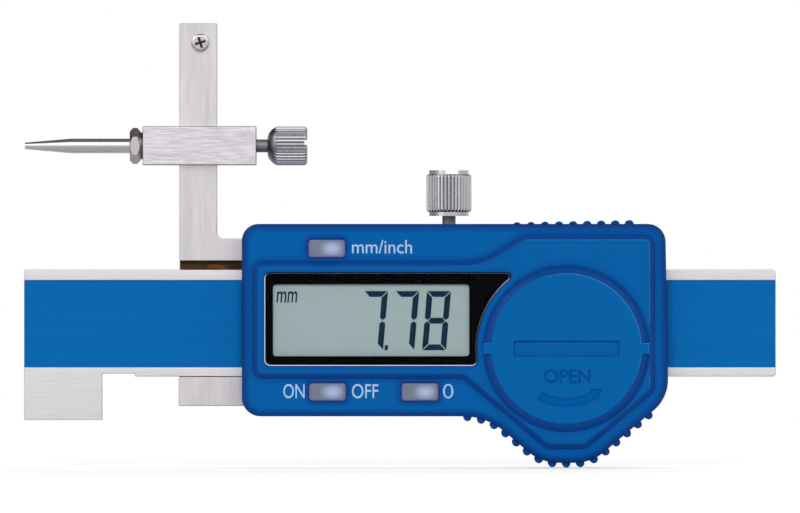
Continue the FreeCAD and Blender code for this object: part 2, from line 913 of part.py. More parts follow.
def bulge_point(distance, foot_rounded):
    """How far out and up the bulge's edge is, after a distance along it from its lowest point."""
    angle = math.radians(size.flank_angle.number)
    crown = size.bulge_round.number
    foot = size.bulge_foot_round.number
    flat = size.bulge_crown.number / 2 - crown * math.tan(angle / 2)
    if distance <= flat:
        return distance, 0.0
    turned = (distance - flat) / crown
    if turned <= angle:
        return flat + crown * math.sin(turned), crown * (1 - math.cos(turned))
    out = flat + crown * math.sin(angle)
    up = crown * (1 - math.cos(angle))
    straight = bulge_drop.number / math.sin(angle) - (crown + foot) * math.tan(angle / 2)
    run = distance - flat - crown * angle
    if run <= straight or not foot_rounded:
        return out + run * math.cos(angle), up + run * math.sin(angle)
    turned = angle - (run - straight) / foot
    out += straight * math.cos(angle) + foot * (math.sin(angle) - math.sin(turned))
    up += straight * math.sin(angle) + foot * (math.cos(turned) - math.cos(angle))
    return out, up


def add_serrations(body):
    """Grip ribs along the bulge, and a shorter row that grows along the top edge."""
    length = face_front - size.front_edge_round - housing_rear
    sketch = new_sketch(body, "XZ_Plane", along=housing_rear)
    for count in range(-SERRATIONS_LEFT, SERRATIONS_RIGHT + 1):
        out, up = bulge_point(abs(count) * size.serration_pitch.number, foot_rounded=count < 0)
        side = -1 if count < 0 else 1
        x = cell_x + out * side
        draw_circle(sketch, x, crown_z - size.serration_stand + up, size.serration_radius)
    pad(body, sketch, length)
    top = new_sketch(body, "XZ_Plane", along=housing_rear)
    for count in range(TOP_SERRATIONS):
        x = cell_x - size.serration_pitch * (TOP_SERRATIONS / 2 - 1 - count)
        rise = size.serration_stand * ((count - TOP_SERRATIONS) / 2)
        draw_circle(top, x, housing_top + rise, size.serration_radius)
    pad(body, top, length)


def hollow_housing(body):
    """The inside, open at the back, and the ways through for the frame and the beam."""
    inside = new_sketch(body, "XZ_Plane", along=housing_rear)
    draw_loop(inside, case_outline(size.housing_wall))
    pocket(body, inside, cavity_front - housing_rear, forward=True)
    depth = size.housing_wall + size.front_edge_round
    rear = -housing_rear + size.edge_break
    frame_way = new_sketch(body, "YZ_Plane", along=housing_left - size.front_edge_round)
    draw_loop(frame_way, rectangle(-frame_front, frame_bottom - size.slide_clearance, rear,
                                   frame_top + size.slide_clearance))
    pocket(body, frame_way, depth, forward=True)
    beam_way = new_sketch(body, "YZ_Plane", along=flare_right + size.front_edge_round)
    gap = size.button_gap * 2
    draw_loop(beam_way, rectangle(-frame_front, -half_beam - gap, rear, half_beam + gap))
    pocket(body, beam_way, depth + size.front_edge_round)


def add_bosses_and_ribs(body):
    """Screw bosses that stand on the frame's rails, and stiffening ribs across the bulge."""
    bosses = new_sketch(body, "XZ_Plane", along=frame_front)
    for x, z in case_screw_places():
        draw_circle(bosses, x, z, size.boss_radius)
    pad(body, bosses, size.cavity_depth + size.edge_break)
    pilot = size.case_screw_radius + size.seat_clearance
    front_holes(body, case_screw_places(), pilot, frame_front, size.case_screw_grip + size.edge_break,
                forward=True)
    floor = crown_z + size.housing_wall / 2
    top = frame_bottom - size.slide_clearance * 4
    length = frame_front - size.board_gap - (housing_rear + size.edge_break)
    ribs = new_sketch(body, "XZ_Plane", along=housing_rear + size.edge_break)
    for step in (-1, 0, 1):
        middle = cell_x + size.rib_spacing * step
        draw_loop(ribs, rectangle(middle - size.rib_thickness / 2, floor + size.rib_rise * abs(step),
                                  middle + size.rib_thickness / 2, top))
    pad(body, ribs, length)


def open_window(body):
    """A stepped seat for the window, and the hole behind it for the display."""
    seat = new_sketch(body, "XZ_Plane", along=plateau_front)
    corners = draw_window(seat, zero)
    depth = size.window_recess + size.window_thickness + size.mask_thickness
    pocket(body, seat, depth)
    round_window_corners(body, corners)
    view = new_sketch(body, "XZ_Plane", along=plateau_front - depth)
    draw_loop(view, view_rectangle(size.ledge_reach))
    pocket(body, view, plateau_front - depth - cavity_front)


cover_seat = plateau_front - size.plateau_slope - size.seal_thickness - size.slide_clearance
cover_seal_front = cover_seat + size.seal_thickness


def open_battery_well(body):
    """The round recess, the hole for the cover's skirt, and the two ways in for its lugs."""
    recess = cover_radius + size.cover_recess_gap
    front_holes(body, [(cell_x, cell_z)], recess, plateau_front, plateau_front - cover_seat)
    hole = skirt_radius + size.cover_recess_gap * 2
    front_holes(body, [(cell_x, cell_z)], hole, cover_seat, cover_seat - cavity_front)
    notches = new_sketch(body, "XZ_Plane", along=cover_seat, right=cell_x, up=cell_z)
    turn_sketch(notches, size.cover_turn)
    reach = skirt_radius + size.lug_reach + size.cover_recess_gap
    half = size.lug_width / 2 + size.cover_recess_gap
    draw_loop(notches, rectangle(-reach, -half, reach, half))
    pocket(body, notches, cover_seat - cavity_front)


def button_places():
    low = housing_bottom + size.button_edge_margin + size.button_height / 2
    high = housing_top - size.button_edge_margin - size.button_height / 2
    return {
        "unit_button": (unit_button_x, high),
        "power_button": (power_button_x, low),
        "zero_button": (zero_button_x, low)}


def centred(x, z, width, height):
    return rectangle(x - width / 2, z - height / 2, x + width / 2, z + height / 2)


def open_buttons(body):
    width = size.button_width + size.button_gap * 2
    height = size.button_height + size.button_gap * 2
    corners = []
    sketch = new_sketch(body, "XZ_Plane", along=face_front)
    for x, z in button_places().values():
        outline = centred(x, z, width, height)
        draw_loop(sketch, outline)
        corners.extend(outline)
    pocket(body, sketch, size.housing_wall)
    round_edges(body, corner_test(corners, 0, 2), size.button_round + size.button_gap)


# Display: window, mask, glass panel, holder and contact strips

def make_display_window():
    front = plateau_front - size.window_recess
    return window_sheet("display_window", front - size.window_thickness, front)


def window_sheet(label, back, front):
    body = new_body(label)
    sketch = new_sketch(body, "XZ_Plane", along=back)
    corners = draw_window(sketch, size.slide_clearance)
    pad(body, sketch, front - back)
    round_window_corners(body, corners)
    return body


def make_window_mask():
    """The black print behind the window, with a clear field in front of the display."""
    front = plateau_front - size.window_recess - size.window_thickness
    body = window_sheet("window_mask", front - size.mask_thickness, front)
    field = view_rectangle(zero)
    sketch = new_sketch(body, "XZ_Plane", along=front)
    draw_loop(sketch, field)
    pocket(body, sketch, size.mask_thickness)
    round_edges(body, corner_test(field, 0, 2), size.view_round)
    return body


glass_front = cavity_front - size.glass_gap
glass_back = glass_front - size.glass_thickness


def make_lcd_panel():
    return plate("lcd_panel", view_rectangle(size.glass_margin), glass_back, glass_front)


def make_lcd_holder():
    """A frame on the board that carries the glass panel by its edge."""
    outer = size.glass_margin + size.turn_clearance + size.holder_wall
    body = plate("lcd_holder", view_rectangle(outer), board_front, glass_front)
    seat = new_sketch(body, "XZ_Plane", along=glass_front)
    draw_loop(seat, view_rectangle(size.glass_margin + size.turn_clearance))
    pocket(body, seat, size.glass_thickness)
    middle = new_sketch(body, "XZ_Plane", along=glass_back)
    inside = size.strip_inset + size.strip_width + size.holder_wall - size.glass_margin
    draw_loop(middle, view_rectangle(-inside))
    pocket(body, middle, glass_back - board_front)
    for outline in contact_strip_outlines(size.turn_clearance):
        slot = new_sketch(body, "XZ_Plane", along=glass_back)
        draw_loop(slot, outline)
        pocket(body, slot, glass_back - board_front)
    return body


def contact_strip_outlines(grow):
    """The two strips above and below the display's middle, seen from the front."""
    (left, bottom), _, (right, top), _ = view_rectangle(size.glass_margin)
    inset = size.strip_inset
    width = size.strip_width
    return [
        rectangle(left + inset - grow, bottom + inset - grow, right - inset + grow,
                  bottom + inset + width + grow),
        rectangle(left + inset - grow, top - inset - width - grow, right - inset + grow,
                  top - inset + grow)]


def make_zebra_strips():
    strips = []
    for (left, bottom), _, (right, top), _ in contact_strip_outlines(zero):
        strips.append(box(left, glass_back, bottom, right - left, glass_back - board_front, top - bottom))
    return group("zebra_strips", strips)


# Circuit board with its parts

def make_main_pcb():
    """The board lies on the rails and reaches down round the battery."""
    margin = size.board_margin
    wall = size.housing_wall + margin
    body = new_body("main_pcb")
    sketch = new_sketch(body, "XZ_Plane", along=frame_front)
    draw_loop(sketch, rectangle(housing_left + wall, housing_bottom + wall, frame_right - margin,
                                frame_top - margin))
    pad(body, sketch, size.board_thickness)
    disc = new_sketch(body, "XZ_Plane", along=frame_front)
    draw_circle(disc, cell_x, cell_z, size.cell_radius + size.cradle_gap + size.cradle_wall + margin)
    pad(body, disc, size.board_thickness)
    front_holes(body, case_screw_places(), size.boss_radius + size.button_gap, board_front,
                size.board_thickness)
    front_holes(body, board_screw_places(), size.board_screw_radius + size.turn_clearance, board_front,
                size.board_thickness)
    return body


def make_pcb_screws():
    screws = []
    for x, z in board_screw_places():
        shank_back = board_front - size.board_thickness - size.board_screw_length + size.edge_break
        stem = cylinder(x, z, shank_back, size.board_screw_radius, board_front - shank_back)
        head = cylinder(x, z, board_front, size.board_head_radius, size.board_head_height)
        notch = front_slot(x, z, board_front + size.board_head_height, size.board_head_radius)
        screws.append(cut(fuse([stem, head]), notch))
    return group("pcb_screws", screws)


def make_chip_blob():
    """The round drop of resin over the measuring chip, inside the display's holder."""
    (left, bottom), _, (right, top), _ = view_rectangle(zero)
    body = new_body("chip_blob")
    sketch = new_sketch(body, "XY_Plane", along=(bottom + top) / 2, right=(left + right) / 2)
    front = -(board_front + size.chip_height)
    draw_loop(sketch, [(zero, -board_front), (size.chip_radius, -board_front),
                       (size.chip_top_radius, front), (zero, front)])
    revolve(body, sketch, "V_Axis")
    return body


def make_tact_switches():
    switches = []
    for x, z in button_places().values():
        half = size.switch_width / 2
        base = box(x - half, board_front + size.switch_height, z - size.switch_span / 2,
                   size.switch_width, size.switch_height, size.switch_span)
        plunger = cylinder(x, z, board_front + size.switch_height, size.switch_plunger,
                           size.switch_plunger_height)
        switches.append(fuse([base, plunger]))
    return group("tact_switches", switches)


def make_button(label, x, z):
    """A cap that shows in the case, a flange that holds it in, and a stem over its switch."""
    body = new_body(label)
    flange_back = flange_front - size.button_flange_thickness
    switch_top = board_front + size.switch_height + size.switch_plunger_height
    stem_back = switch_top + size.button_travel + size.slide_clearance
    cap = centred(x, z, size.button_width, size.button_height)
    sketch = new_sketch(body, "XZ_Plane", along=flange_front)
    draw_loop(sketch, cap)
    pad(body, sketch, face_front + size.button_stand - flange_front)
    round_edges(body, corner_test(cap, 0, 2), size.button_round)
    round_edges(body, level_test(1, -(face_front + size.button_stand)), size.button_stand / 2)
    flange = new_sketch(body, "XZ_Plane", along=flange_back)
    draw_loop(flange, centred(x, z, size.button_width + size.button_flange * 2,
                              size.button_height + size.button_flange * 2))
    pad(body, flange, size.button_flange_thickness)
    stem = new_sketch(body, "XZ_Plane", along=stem_back)
    draw_loop(stem, centred(x, z, size.button_stem * 2, size.button_stem))
    pad(body, stem, flange_back - stem_back)
    return body


def make_housing_screws():
    """Four slotted screws from the back, through the rails, into the case's bosses."""
    head_back = frame_back + size.edge_break
    head_front = head_back + size.case_head_height
    screws = []
    for x, z in case_screw_places():
        head = cylinder(x, z, head_back, size.case_head_radius, size.case_head_height)
        stem = cylinder(x, z, head_front, size.case_screw_radius,
                        frame_front + size.case_screw_grip - head_front)
        screws.append(cut(fuse([head, stem]), back_slot(x, z, head_back, size.case_head_radius)))
    return group("housing_screws", screws)


# Battery, its cradle, contacts, seal and cover

cover_front = plateau_front + size.cover_stand
cover_rim_back = cover_seal_front + size.slide_clearance
cover_pad_back = cover_rim_back - size.cover_pad
cell_front = cover_pad_back - size.cell_gap
cell_back = cell_front - size.cell_thickness


def ring(label, inner, outer, back, front):
    """A flat round ring about the battery's centre."""
    body = new_body(label)
    sketch = new_sketch(body, "XZ_Plane", along=back)
    draw_circle(sketch, cell_x, cell_z, outer)
    draw_circle(sketch, cell_x, cell_z, inner)
    pad(body, sketch, front - back)
    return body


def make_battery():
    """A coin cell: the can, and the smaller cap of the other pole towards the board."""
    step = size.cell_step
    narrow = size.cell_radius - size.cradle_wall
    body = new_body("battery")
    sketch = new_sketch(body, "XY_Plane", along=cell_z, right=cell_x)
    draw_loop(sketch, [(zero, -cell_back), (narrow, -cell_back), (narrow, -(cell_back + step)),
                       (size.cell_radius, -(cell_back + step)), (size.cell_radius, -cell_front),
                       (zero, -cell_front)])
    revolve(body, sketch, "V_Axis")
    return body


def make_battery_cradle():
    """A ring on the board round the cell, with a gap for the upper contact."""
    inner = size.cell_radius + size.cradle_gap
    body = ring("battery_cradle", inner, inner + size.cradle_wall, board_front,
                board_front + size.cradle_height)
    gap = new_sketch(body, "XZ_Plane", along=board_front + size.cradle_height)
    half = size.contact_width / 2 + size.cradle_gap
    reach = inner + size.cradle_wall + size.edge_break
    draw_loop(gap, rectangle(cell_x - half, cell_z, cell_x + half, cell_z + reach))
    pocket(body, gap, size.cradle_height)
    return body


def make_battery_contact_positive():
    """A bent strip on the board that touches the side of the can."""
    sheet_thick = size.contact_sheet
    inside = cell_z + size.cell_radius + size.seat_clearance
    foot_end = inside + size.contact_width / 2
    top = board_front + size.cradle_height
    body = new_body("battery_contact_positive")
    sketch = new_sketch(body, "YZ_Plane", along=cell_x - size.contact_width / 2)
    draw_loop(sketch, [(-board_front, inside), (-board_front, foot_end),
                       (-(board_front + sheet_thick), foot_end),
                       (-(board_front + sheet_thick), inside + sheet_thick),
                       (-top, inside + sheet_thick), (-top, inside)])
    pad(body, sketch, size.contact_width)
    return body


def make_battery_contact_negative():
    """A spring leaf on the board that rises to the cell's small pole."""
    leaf = size.contact_sheet
    reach = size.cell_radius / 2
    start = cell_x - reach
    bend = start + size.contact_width
    end = cell_x + reach / 2
    low = board_front
    high = cell_back - size.seat_clearance
    body = new_body("battery_contact_negative")
    sketch = new_sketch(body, "XY_Plane", along=cell_z - size.contact_width / 2)
    draw_loop(sketch, [(start, -low), (bend, -low), (end, -(high - leaf)), (end + reach / 2, -(high - leaf)),
                       (end + reach / 2, -high), (end - leaf, -high), (bend - leaf, -(low + leaf)),
                       (start, -(low + leaf))])
    pad(body, sketch, size.contact_width)
    return body


def make_battery_seal():
    inner = skirt_radius + size.cover_recess_gap
    return ring("battery_seal", inner, cover_radius - size.cover_recess_gap, cover_seat,
                cover_seal_front)


def make_battery_cover():
    """A round cover with a sloped edge, two ears, a coin slot, a skirt and two locking lugs."""
    body = new_body("battery_cover")
    skirt_back = cover_rim_back - size.skirt_length
    inner = skirt_radius - size.skirt_wall
    slope_back = cover_front - size.cover_slope_depth
    sketch = new_sketch(body, "XY_Plane", along=cell_z, right=cell_x)
    draw_loop(sketch, [
        (zero, -cover_pad_back), (inner, -cover_pad_back), (inner, -skirt_back),
        (skirt_radius, -skirt_back), (skirt_radius, -cover_rim_back),
        (cover_radius, -cover_rim_back), (cover_radius, -slope_back),
        (cover_radius - size.cover_slope, -cover_front), (zero, -cover_front)])
    revolve(body, sketch, "V_Axis")
    add_cover_ears(body, slope_back)
    add_cover_lugs(body)
    slot = new_sketch(body, "XZ_Plane", along=cover_front)
    outline = centred(cell_x, cell_z, size.coin_slot_length, size.coin_slot_width)
    draw_loop(slot, outline)
    pocket(body, slot, size.coin_slot_depth)
    round_edges(body, corner_test(outline, 0, 2), size.edge_break)
    return body


def add_cover_ears(body, slope_back):
    """Flat ears across the sloped edge at both ends of the coin slot's line."""
    half = size.ear_width / 2
    reach = root(cover_radius * cover_radius - half * half)
    inside = cover_radius - size.cover_slope * 2
    sketch = new_sketch(body, "XZ_Plane", along=slope_back)
    for side in (-1, 1):
        near = cell_x + inside * side
        far = cell_x + reach * side
        left, right = (far, near) if side < 0 else (near, far)
        draw_loop(sketch, rectangle(left, cell_z - half, right, cell_z + half))
    pad(body, sketch, size.cover_slope_depth)


def add_cover_lugs(body):
    """Lugs on the skirt that turn under the case's ledge."""
    half = size.lug_width / 2
    front = cavity_front - size.slide_clearance
    inside = skirt_radius - size.skirt_wall / 2
    reach = root((skirt_radius + size.lug_reach) * (skirt_radius + size.lug_reach) - half * half)
    sketch = new_sketch(body, "XZ_Plane", along=front - size.lug_thickness)
    for side in (-1, 1):
        near = cell_x + inside * side
        far = cell_x + reach * side
        left, right = (far, near) if side < 0 else (near, far)
        draw_loop(sketch, rectangle(left, cell_z - half, right, cell_z + half))
    pad(body, sketch, size.lug_thickness)


# Screws that are turned by hand

def cut_flutes(body, sketch, radius, length, count):
    """Straight V flutes round a head, in a ring about the sketch's own origin."""
    outside = radius + size.flute_depth
    half = size.flute_width
    draw_loop(sketch, [(radius - size.flute_depth, zero), (outside, -half), (outside, half)])
    first = pocket(body, sketch, length)
    once = body.Shape.Volume
    flutes = body.newObject("PartDesign::PolarPattern", "flutes")
    flutes.Originals = [first]
    flutes.Axis = (sketch, ["N_Axis"])
    flutes.Angle = 360
    flutes.Occurrences = count
    body.Tip = flutes
    doc.recompute()
    if body.Shape.Volume > once - SAME:
        raise RuntimeError(f"{body.Label}: the flutes weren't repeated")


def make_lock_screw():
    """The thumb screw on top: its tip presses on the gib."""
    body = new_body("lock_screw")
    tip = gib_top + size.seat_clearance
    head_bottom = housing_top + size.lock_neck
    head_top = head_bottom + size.lock_head_length
    knurl_bottom = head_bottom + size.lock_shoulder
    knurl_top = head_top - size.lock_shoulder
    shoulder = size.lock_shoulder_radius
    sketch = new_sketch(body, "XZ_Plane", right=lock_x)
    draw_loop(sketch, [
        (zero, tip), (size.lock_stem_radius, tip), (size.lock_stem_radius, head_bottom),
        (shoulder, head_bottom), (shoulder, knurl_bottom), (size.lock_head_radius, knurl_bottom),
        (size.lock_head_radius, knurl_top), (shoulder, knurl_top), (shoulder, head_top), (zero, head_top)])
    revolve(body, sketch, "V_Axis")
    for level in (knurl_bottom, knurl_top):
        round_edges(body, rim_test(2, level, size.lock_head_radius), size.lock_end_round)
    flute = new_sketch(body, "XY_Plane", along=knurl_top, right=lock_x)
    cut_flutes(body, flute, size.lock_head_radius, knurl_top - knurl_bottom, LOCK_FLUTES)
    slot = new_sketch(body, "XY_Plane", along=head_top, right=lock_x)
    half = size.lock_slot_width / 2
    reach = size.lock_head_radius
    draw_loop(slot, rectangle(size.lock_slot_offset - half, -reach, size.lock_slot_offset + half, reach))
    pocket(body, slot, size.lock_slot_depth)
    return body


def dome_centre(dome_end, neck_end):
    """The centre of the dome's arc, on the side of the head."""
    out, along = size.clamp_head_radius.number, dome_end.number
    low, start = size.clamp_stem_radius.number, neck_end.number
    chord = math.hypot(along - start, out - low)
    depth = math.sqrt(size.clamp_dome_round.number ** 2 - chord * chord / 4) / chord
    return (along + start) / 2 + (out - low) * depth, (out + low) / 2 - (along - start) * depth


def make_clamp_screw():
    """The thumb screw in the block's end: its tip presses on the post."""
    body = new_body("clamp_screw")
    tip = post_right + size.clamp_tip_gap
    neck_end = block_right + size.clamp_neck
    dome_end = neck_end + size.clamp_dome
    head_end = neck_end + size.clamp_head_length
    radius = size.clamp_head_radius
    sketch = new_sketch(body, "XZ_Plane", up=stylus_z)
    centre = dome_centre(dome_end, neck_end)
    draw_loop(sketch, [
        (tip, zero), (head_end, zero), (head_end, radius), (dome_end, radius),
        (neck_end, size.clamp_stem_radius), (tip, size.clamp_stem_radius)],
        bow=(3, centre, size.clamp_dome_round))
    revolve(body, sketch, "H_Axis")
    round_edges(body, rim_test(0, head_end, radius), size.clamp_end_round)
    flute = new_sketch(body, "YZ_Plane", along=head_end, up=stylus_z)
    cut_flutes(body, flute, radius, size.clamp_head_length, CLAMP_FLUTES)
    slot = new_sketch(body, "YZ_Plane", along=head_end, up=stylus_z)
    half = size.clamp_slot_width / 2
    low = size.clamp_slot_offset - half
    draw_loop(slot, rectangle(-radius, low, radius, size.clamp_slot_offset + half))
    pocket(body, slot, size.clamp_slot_depth)
    return body


# Stylus block on the post, with the stylus and its nut

def make_stylus_block():
    top = block_bottom + size.block_height
    front = size.block_depth / 2
    gap = size.slide_clearance
    body = plate("stylus_block", rectangle(block_left, block_bottom, block_right, top), -front, front)
    way = new_sketch(body, "XY_Plane", along=top)
    draw_loop(way, rectangle(post_left - gap, -post_front - gap, post_right + gap, post_front + gap))
    pocket(body, way, size.block_height)
    bore = new_sketch(body, "YZ_Plane", along=block_left)
    draw_circle(bore, zero, stylus_z, size.stylus_radius + size.seat_clearance)
    pocket(body, bore, post_left - block_left, forward=True)
    thread = new_sketch(body, "YZ_Plane", along=block_right)
    draw_circle(thread, zero, stylus_z, size.clamp_stem_radius + size.turn_clearance)
    pocket(body, thread, block_right - post_right)
    corners = [(block_left, block_bottom), (block_left, top), (block_right, top), (block_right, block_bottom)]
    bevel_edges(body, corner_test(corners, 0, 2), size.corner_break)
    return body


def make_stylus():
    """A thin rod with a long taper and a small flat tip."""
    tip = size.stylus_tip_inset
    body = new_body("stylus")
    sketch = new_sketch(body, "XZ_Plane", up=stylus_z)
    end = frame_left - size.edge_break
    draw_loop(sketch, [
        (tip, zero), (tip, size.stylus_tip_radius), (tip + size.stylus_taper, size.stylus_radius),
        (end, size.stylus_radius), (end, zero)])
    revolve(body, sketch, "H_Axis")
    return body


def make_stylus_nut():
    """The hexagon nut that locks the stylus against the block, corners up and down."""
    body = new_body("stylus_nut")
    back = block_left - size.nut_face
    left = back - size.nut_thickness
    corner = size.nut_across_corners / 2
    flat = corner * cosine(as_size(30))
    sketch = new_sketch(body, "YZ_Plane", along=left, up=stylus_z)
    draw_loop(sketch, [(zero, -corner), (flat, -(corner / 2)), (flat, corner / 2), (zero, corner),
                       (-flat, corner / 2), (-flat, -(corner / 2))])
    pad(body, sketch, size.nut_thickness)
    bevel_nut(body, left, back, flat, corner)
    face = new_sketch(body, "YZ_Plane", along=back, up=stylus_z)
    draw_circle(face, zero, zero, flat - size.edge_break)
    pad(body, face, size.nut_face)
    bore = new_sketch(body, "YZ_Plane", along=block_left, up=stylus_z)
    draw_circle(bore, zero, zero, size.stylus_radius + size.seat_clearance)
    pocket(body, bore, size.nut_thickness + size.nut_face)
    return body


def bevel_nut(body, left, right, flat, corner):
    """Turns the corners off both ends at 45 degrees."""
    low = flat - size.nut_bevel
    high = corner + size.nut_bevel
    run = high - low
    sketch = new_sketch(body, "XZ_Plane", up=stylus_z)
    draw_loop(sketch, [(left, low), (left + run, high), (left, high)])
    draw_loop(sketch, [(right, low), (right, high), (right - run, high)])
    turn_away(body, sketch, "H_Axis")


def build_all():
    pieces = [
        make_beam(), make_scale_strip(), make_beam_label(), make_end_stop(), make_end_stop_screws(),
        make_slider_frame(), make_gib(), make_gib_screws(), make_post_stop_screw(), make_housing(),
        make_housing_screws(), make_display_window(), make_window_mask(), make_lcd_panel(),
        make_lcd_holder(), make_zebra_strips(), make_main_pcb(), make_pcb_screws(), make_chip_blob(),
        make_tact_switches(), make_battery(), make_battery_cradle(), make_battery_contact_positive(),
        make_battery_contact_negative(), make_battery_seal(), make_battery_cover(), make_lock_screw(),
        make_clamp_screw(), make_stylus_block(), make_stylus(), make_stylus_nut()]
    for label, (x, z) in button_places().items():
        pieces.append(make_button(label, x, z))
    return pieces


def check_document():
    doc.recompute()
    for item in doc.Objects:
        if "Invalid" in item.State or "Error" in item.State:
            raise RuntimeError(f"{item.Label} ({item.Name}) failed: {item.State}")


def export(pieces):
    os.makedirs("parts", exist_ok=True)
    for piece in pieces:
        shape = piece.Shape
        if shape.isNull() or not shape.isValid():
            raise RuntimeError(f"{piece.Label} has no valid shape")
    for piece in pieces:
        piece.Shape.exportStep(f"parts/{piece.Label}.step")
        box_of = piece.Shape.BoundBox
        print(f"{piece.Label:26s} solids {len(piece.Shape.Solids)}  volume {piece.Shape.Volume:9.2f}  "
              f"x {box_of.XMin:7.2f} {box_of.XMax:7.2f}  y {box_of.YMin:7.2f} {box_of.YMax:7.2f}  "
              f"z {box_of.ZMin:7.2f} {box_of.ZMax:7.2f}")


parts = build_all()
check_document()
export(parts)
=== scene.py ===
"""Looks of the digital step gauge: materials, display print, legends, floor, lamps and camera."""

import json
import math

import bpy
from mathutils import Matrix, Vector


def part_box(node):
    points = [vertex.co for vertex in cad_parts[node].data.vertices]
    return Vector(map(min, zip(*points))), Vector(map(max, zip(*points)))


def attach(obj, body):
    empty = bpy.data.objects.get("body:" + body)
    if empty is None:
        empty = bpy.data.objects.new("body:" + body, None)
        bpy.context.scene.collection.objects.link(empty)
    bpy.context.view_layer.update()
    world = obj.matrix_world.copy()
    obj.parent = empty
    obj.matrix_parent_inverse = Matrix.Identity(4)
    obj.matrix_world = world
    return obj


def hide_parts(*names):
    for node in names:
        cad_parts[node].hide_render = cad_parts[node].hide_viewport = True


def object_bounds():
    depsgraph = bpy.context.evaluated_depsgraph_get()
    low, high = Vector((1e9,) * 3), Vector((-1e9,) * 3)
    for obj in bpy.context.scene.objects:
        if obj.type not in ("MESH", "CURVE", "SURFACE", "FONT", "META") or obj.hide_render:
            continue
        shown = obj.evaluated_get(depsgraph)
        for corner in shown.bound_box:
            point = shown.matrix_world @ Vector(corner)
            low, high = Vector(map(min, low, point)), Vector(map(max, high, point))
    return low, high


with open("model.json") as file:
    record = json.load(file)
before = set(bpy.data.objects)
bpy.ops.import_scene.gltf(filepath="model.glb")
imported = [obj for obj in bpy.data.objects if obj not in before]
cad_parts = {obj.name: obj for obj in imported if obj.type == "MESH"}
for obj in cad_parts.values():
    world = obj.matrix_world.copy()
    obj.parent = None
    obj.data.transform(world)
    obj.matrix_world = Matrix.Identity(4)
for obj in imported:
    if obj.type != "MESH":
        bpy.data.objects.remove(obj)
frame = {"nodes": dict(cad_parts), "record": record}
CAD_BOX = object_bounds()
NODES = frame["nodes"]
SLOT_OF = {row["node"]: row["material_slot"] for row in frame["record"]["subparts"]}

MM = 0.001

# Photograph: its size, the scale and the pixel of the frame's origin
PHOTO_WIDTH = 800
PHOTO_HEIGHT = 513
PIXELS_PER_MM = 6.7
ORIGIN_COLUMN = 23.0
ORIGIN_ROW = 323.3

# Camera: a very long lens looks at the display side squarely
LENS = 800.0
SENSOR = 36.0
NEAREST_SEEN = 0.01
FARTHEST_SEEN = 50.0

# Levels in front of the beam's middle plane, in millimetres
DISPLAY_FRONT = 8.1
FACE_FRONT = 9.6
FIELD_RISE = 0.8
COVER_FRONT = 10.9
PRINT_THICKNESS = 0.02
ENGRAVING_DEPTH = 0.2


def column_to_x(column):
    """Millimetres along the beam for a column of the photograph."""
    return (column - ORIGIN_COLUMN) / PIXELS_PER_MM


def row_to_z(row):
    """Millimetres above the beam's middle for a row of the photograph."""
    return (ORIGIN_ROW - row) / PIXELS_PER_MM


def cover_centre():
    """The middle of the round cover, in millimetres along the beam and up."""
    low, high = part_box("battery_cover")
    return (low.x + high.x) / 2 / MM, (low.z + high.z) / 2 / MM


# Colours

SCREEN_WHITE = 255.0
SCREEN_KNEE = 0.04045
SCREEN_SLOPE = 12.92
SCREEN_OFFSET = 0.055
SCREEN_POWER = 2.4


def linear(red, green, blue):
    """A linear colour from screen values of 0 to 255."""
    def channel(value):
        share = value / SCREEN_WHITE
        if share <= SCREEN_KNEE:
            return share / SCREEN_SLOPE
        return ((share + SCREEN_OFFSET) / (1.0 + SCREEN_OFFSET)) ** SCREEN_POWER
    return (channel(red), channel(green), channel(blue), 1.0)


def shade(colour, factor):
    """The colour made darker or lighter by a factor."""
    return tuple(min(1.0, part * factor) for part in colour[:3]) + (1.0,)


WHITE = (1.0, 1.0, 1.0, 1.0)

STEEL = linear(234, 231, 234)
WARM_STEEL = linear(230, 225, 226)
BLOCK_STEEL = linear(224, 220, 225)
PLATED_STEEL = linear(210, 207, 209)
KNURLED_STEEL = linear(198, 197, 202)
TURNED_STEEL = linear(190, 189, 192)
DARK_STEEL = linear(150, 150, 153)
BRIGHT_STEEL = linear(198, 197, 199)
CELL_STEEL = linear(220, 220, 222)
CONTACT_BRONZE = linear(215, 205, 170)
RECESS_SHADE = linear(70, 45, 35)

GIB_BRONZE = linear(74, 50, 30)
GIB_DARK = linear(44, 42, 34)
BLOTCH_ORANGE = linear(128, 72, 34)
# Painted shade on the nut's sloping flats and on its face next to the block
NUT_BROWN = linear(188, 174, 169)
NUT_GAP_SHADE = linear(96, 94, 92)
COOL_BAND = (0.85, 0.86, 0.885, 1.0)
WARM_BAND = (1.0, 0.975, 0.98, 1.0)

CASE_BLUE = linear(0, 92, 162)
COVER_BLUE = linear(0, 95, 163)
FILM_BLUE = linear(0, 101, 171)
ENGRAVED_BLUE = linear(0, 88, 160)
SLOPE_SHADE_NAVY = linear(16, 71, 142)
OUTLINE_SHADE_NAVY = linear(18, 30, 84)
CROWN_SHADE_BLUE = linear(0, 64, 138)
BEAD_SHADE_BLUE = linear(2, 66, 132)
EDGE_HIGHLIGHT_BLUE = linear(70, 140, 205)
GAP_BLUE = linear(10, 66, 132)

BUTTON_GREY = linear(135, 140, 162)
BUTTON_SMOKE = linear(108, 118, 134)
BUTTON_HIGHLIGHT = linear(168, 184, 216)
BUTTON_EDGE = linear(108, 100, 150)

DISPLAY_GREY = linear(159, 177, 178)
DISPLAY_INK = linear(10, 40, 60)
LEGEND_WHITE = linear(172, 196, 228)
MASK_BLACK = linear(4, 4, 6)
RIM_DARK = linear(22, 18, 40)
RIM_LIGHT = linear(250, 242, 252)

LAMINATE = linear(190, 175, 115)
HOLDER_WHITE = linear(225, 225, 222)
RUBBER_PINK = linear(225, 170, 178)
RUBBER_DARK = linear(60, 50, 52)
BOARD_GREEN = linear(20, 110, 60)
RESIN_BLACK = linear(24, 24, 26)
SWITCH_GREY = linear(150, 150, 155)
CRADLE_BLACK = linear(40, 40, 42)
SEAL_BLACK = linear(28, 28, 28)

# Nodes of a material


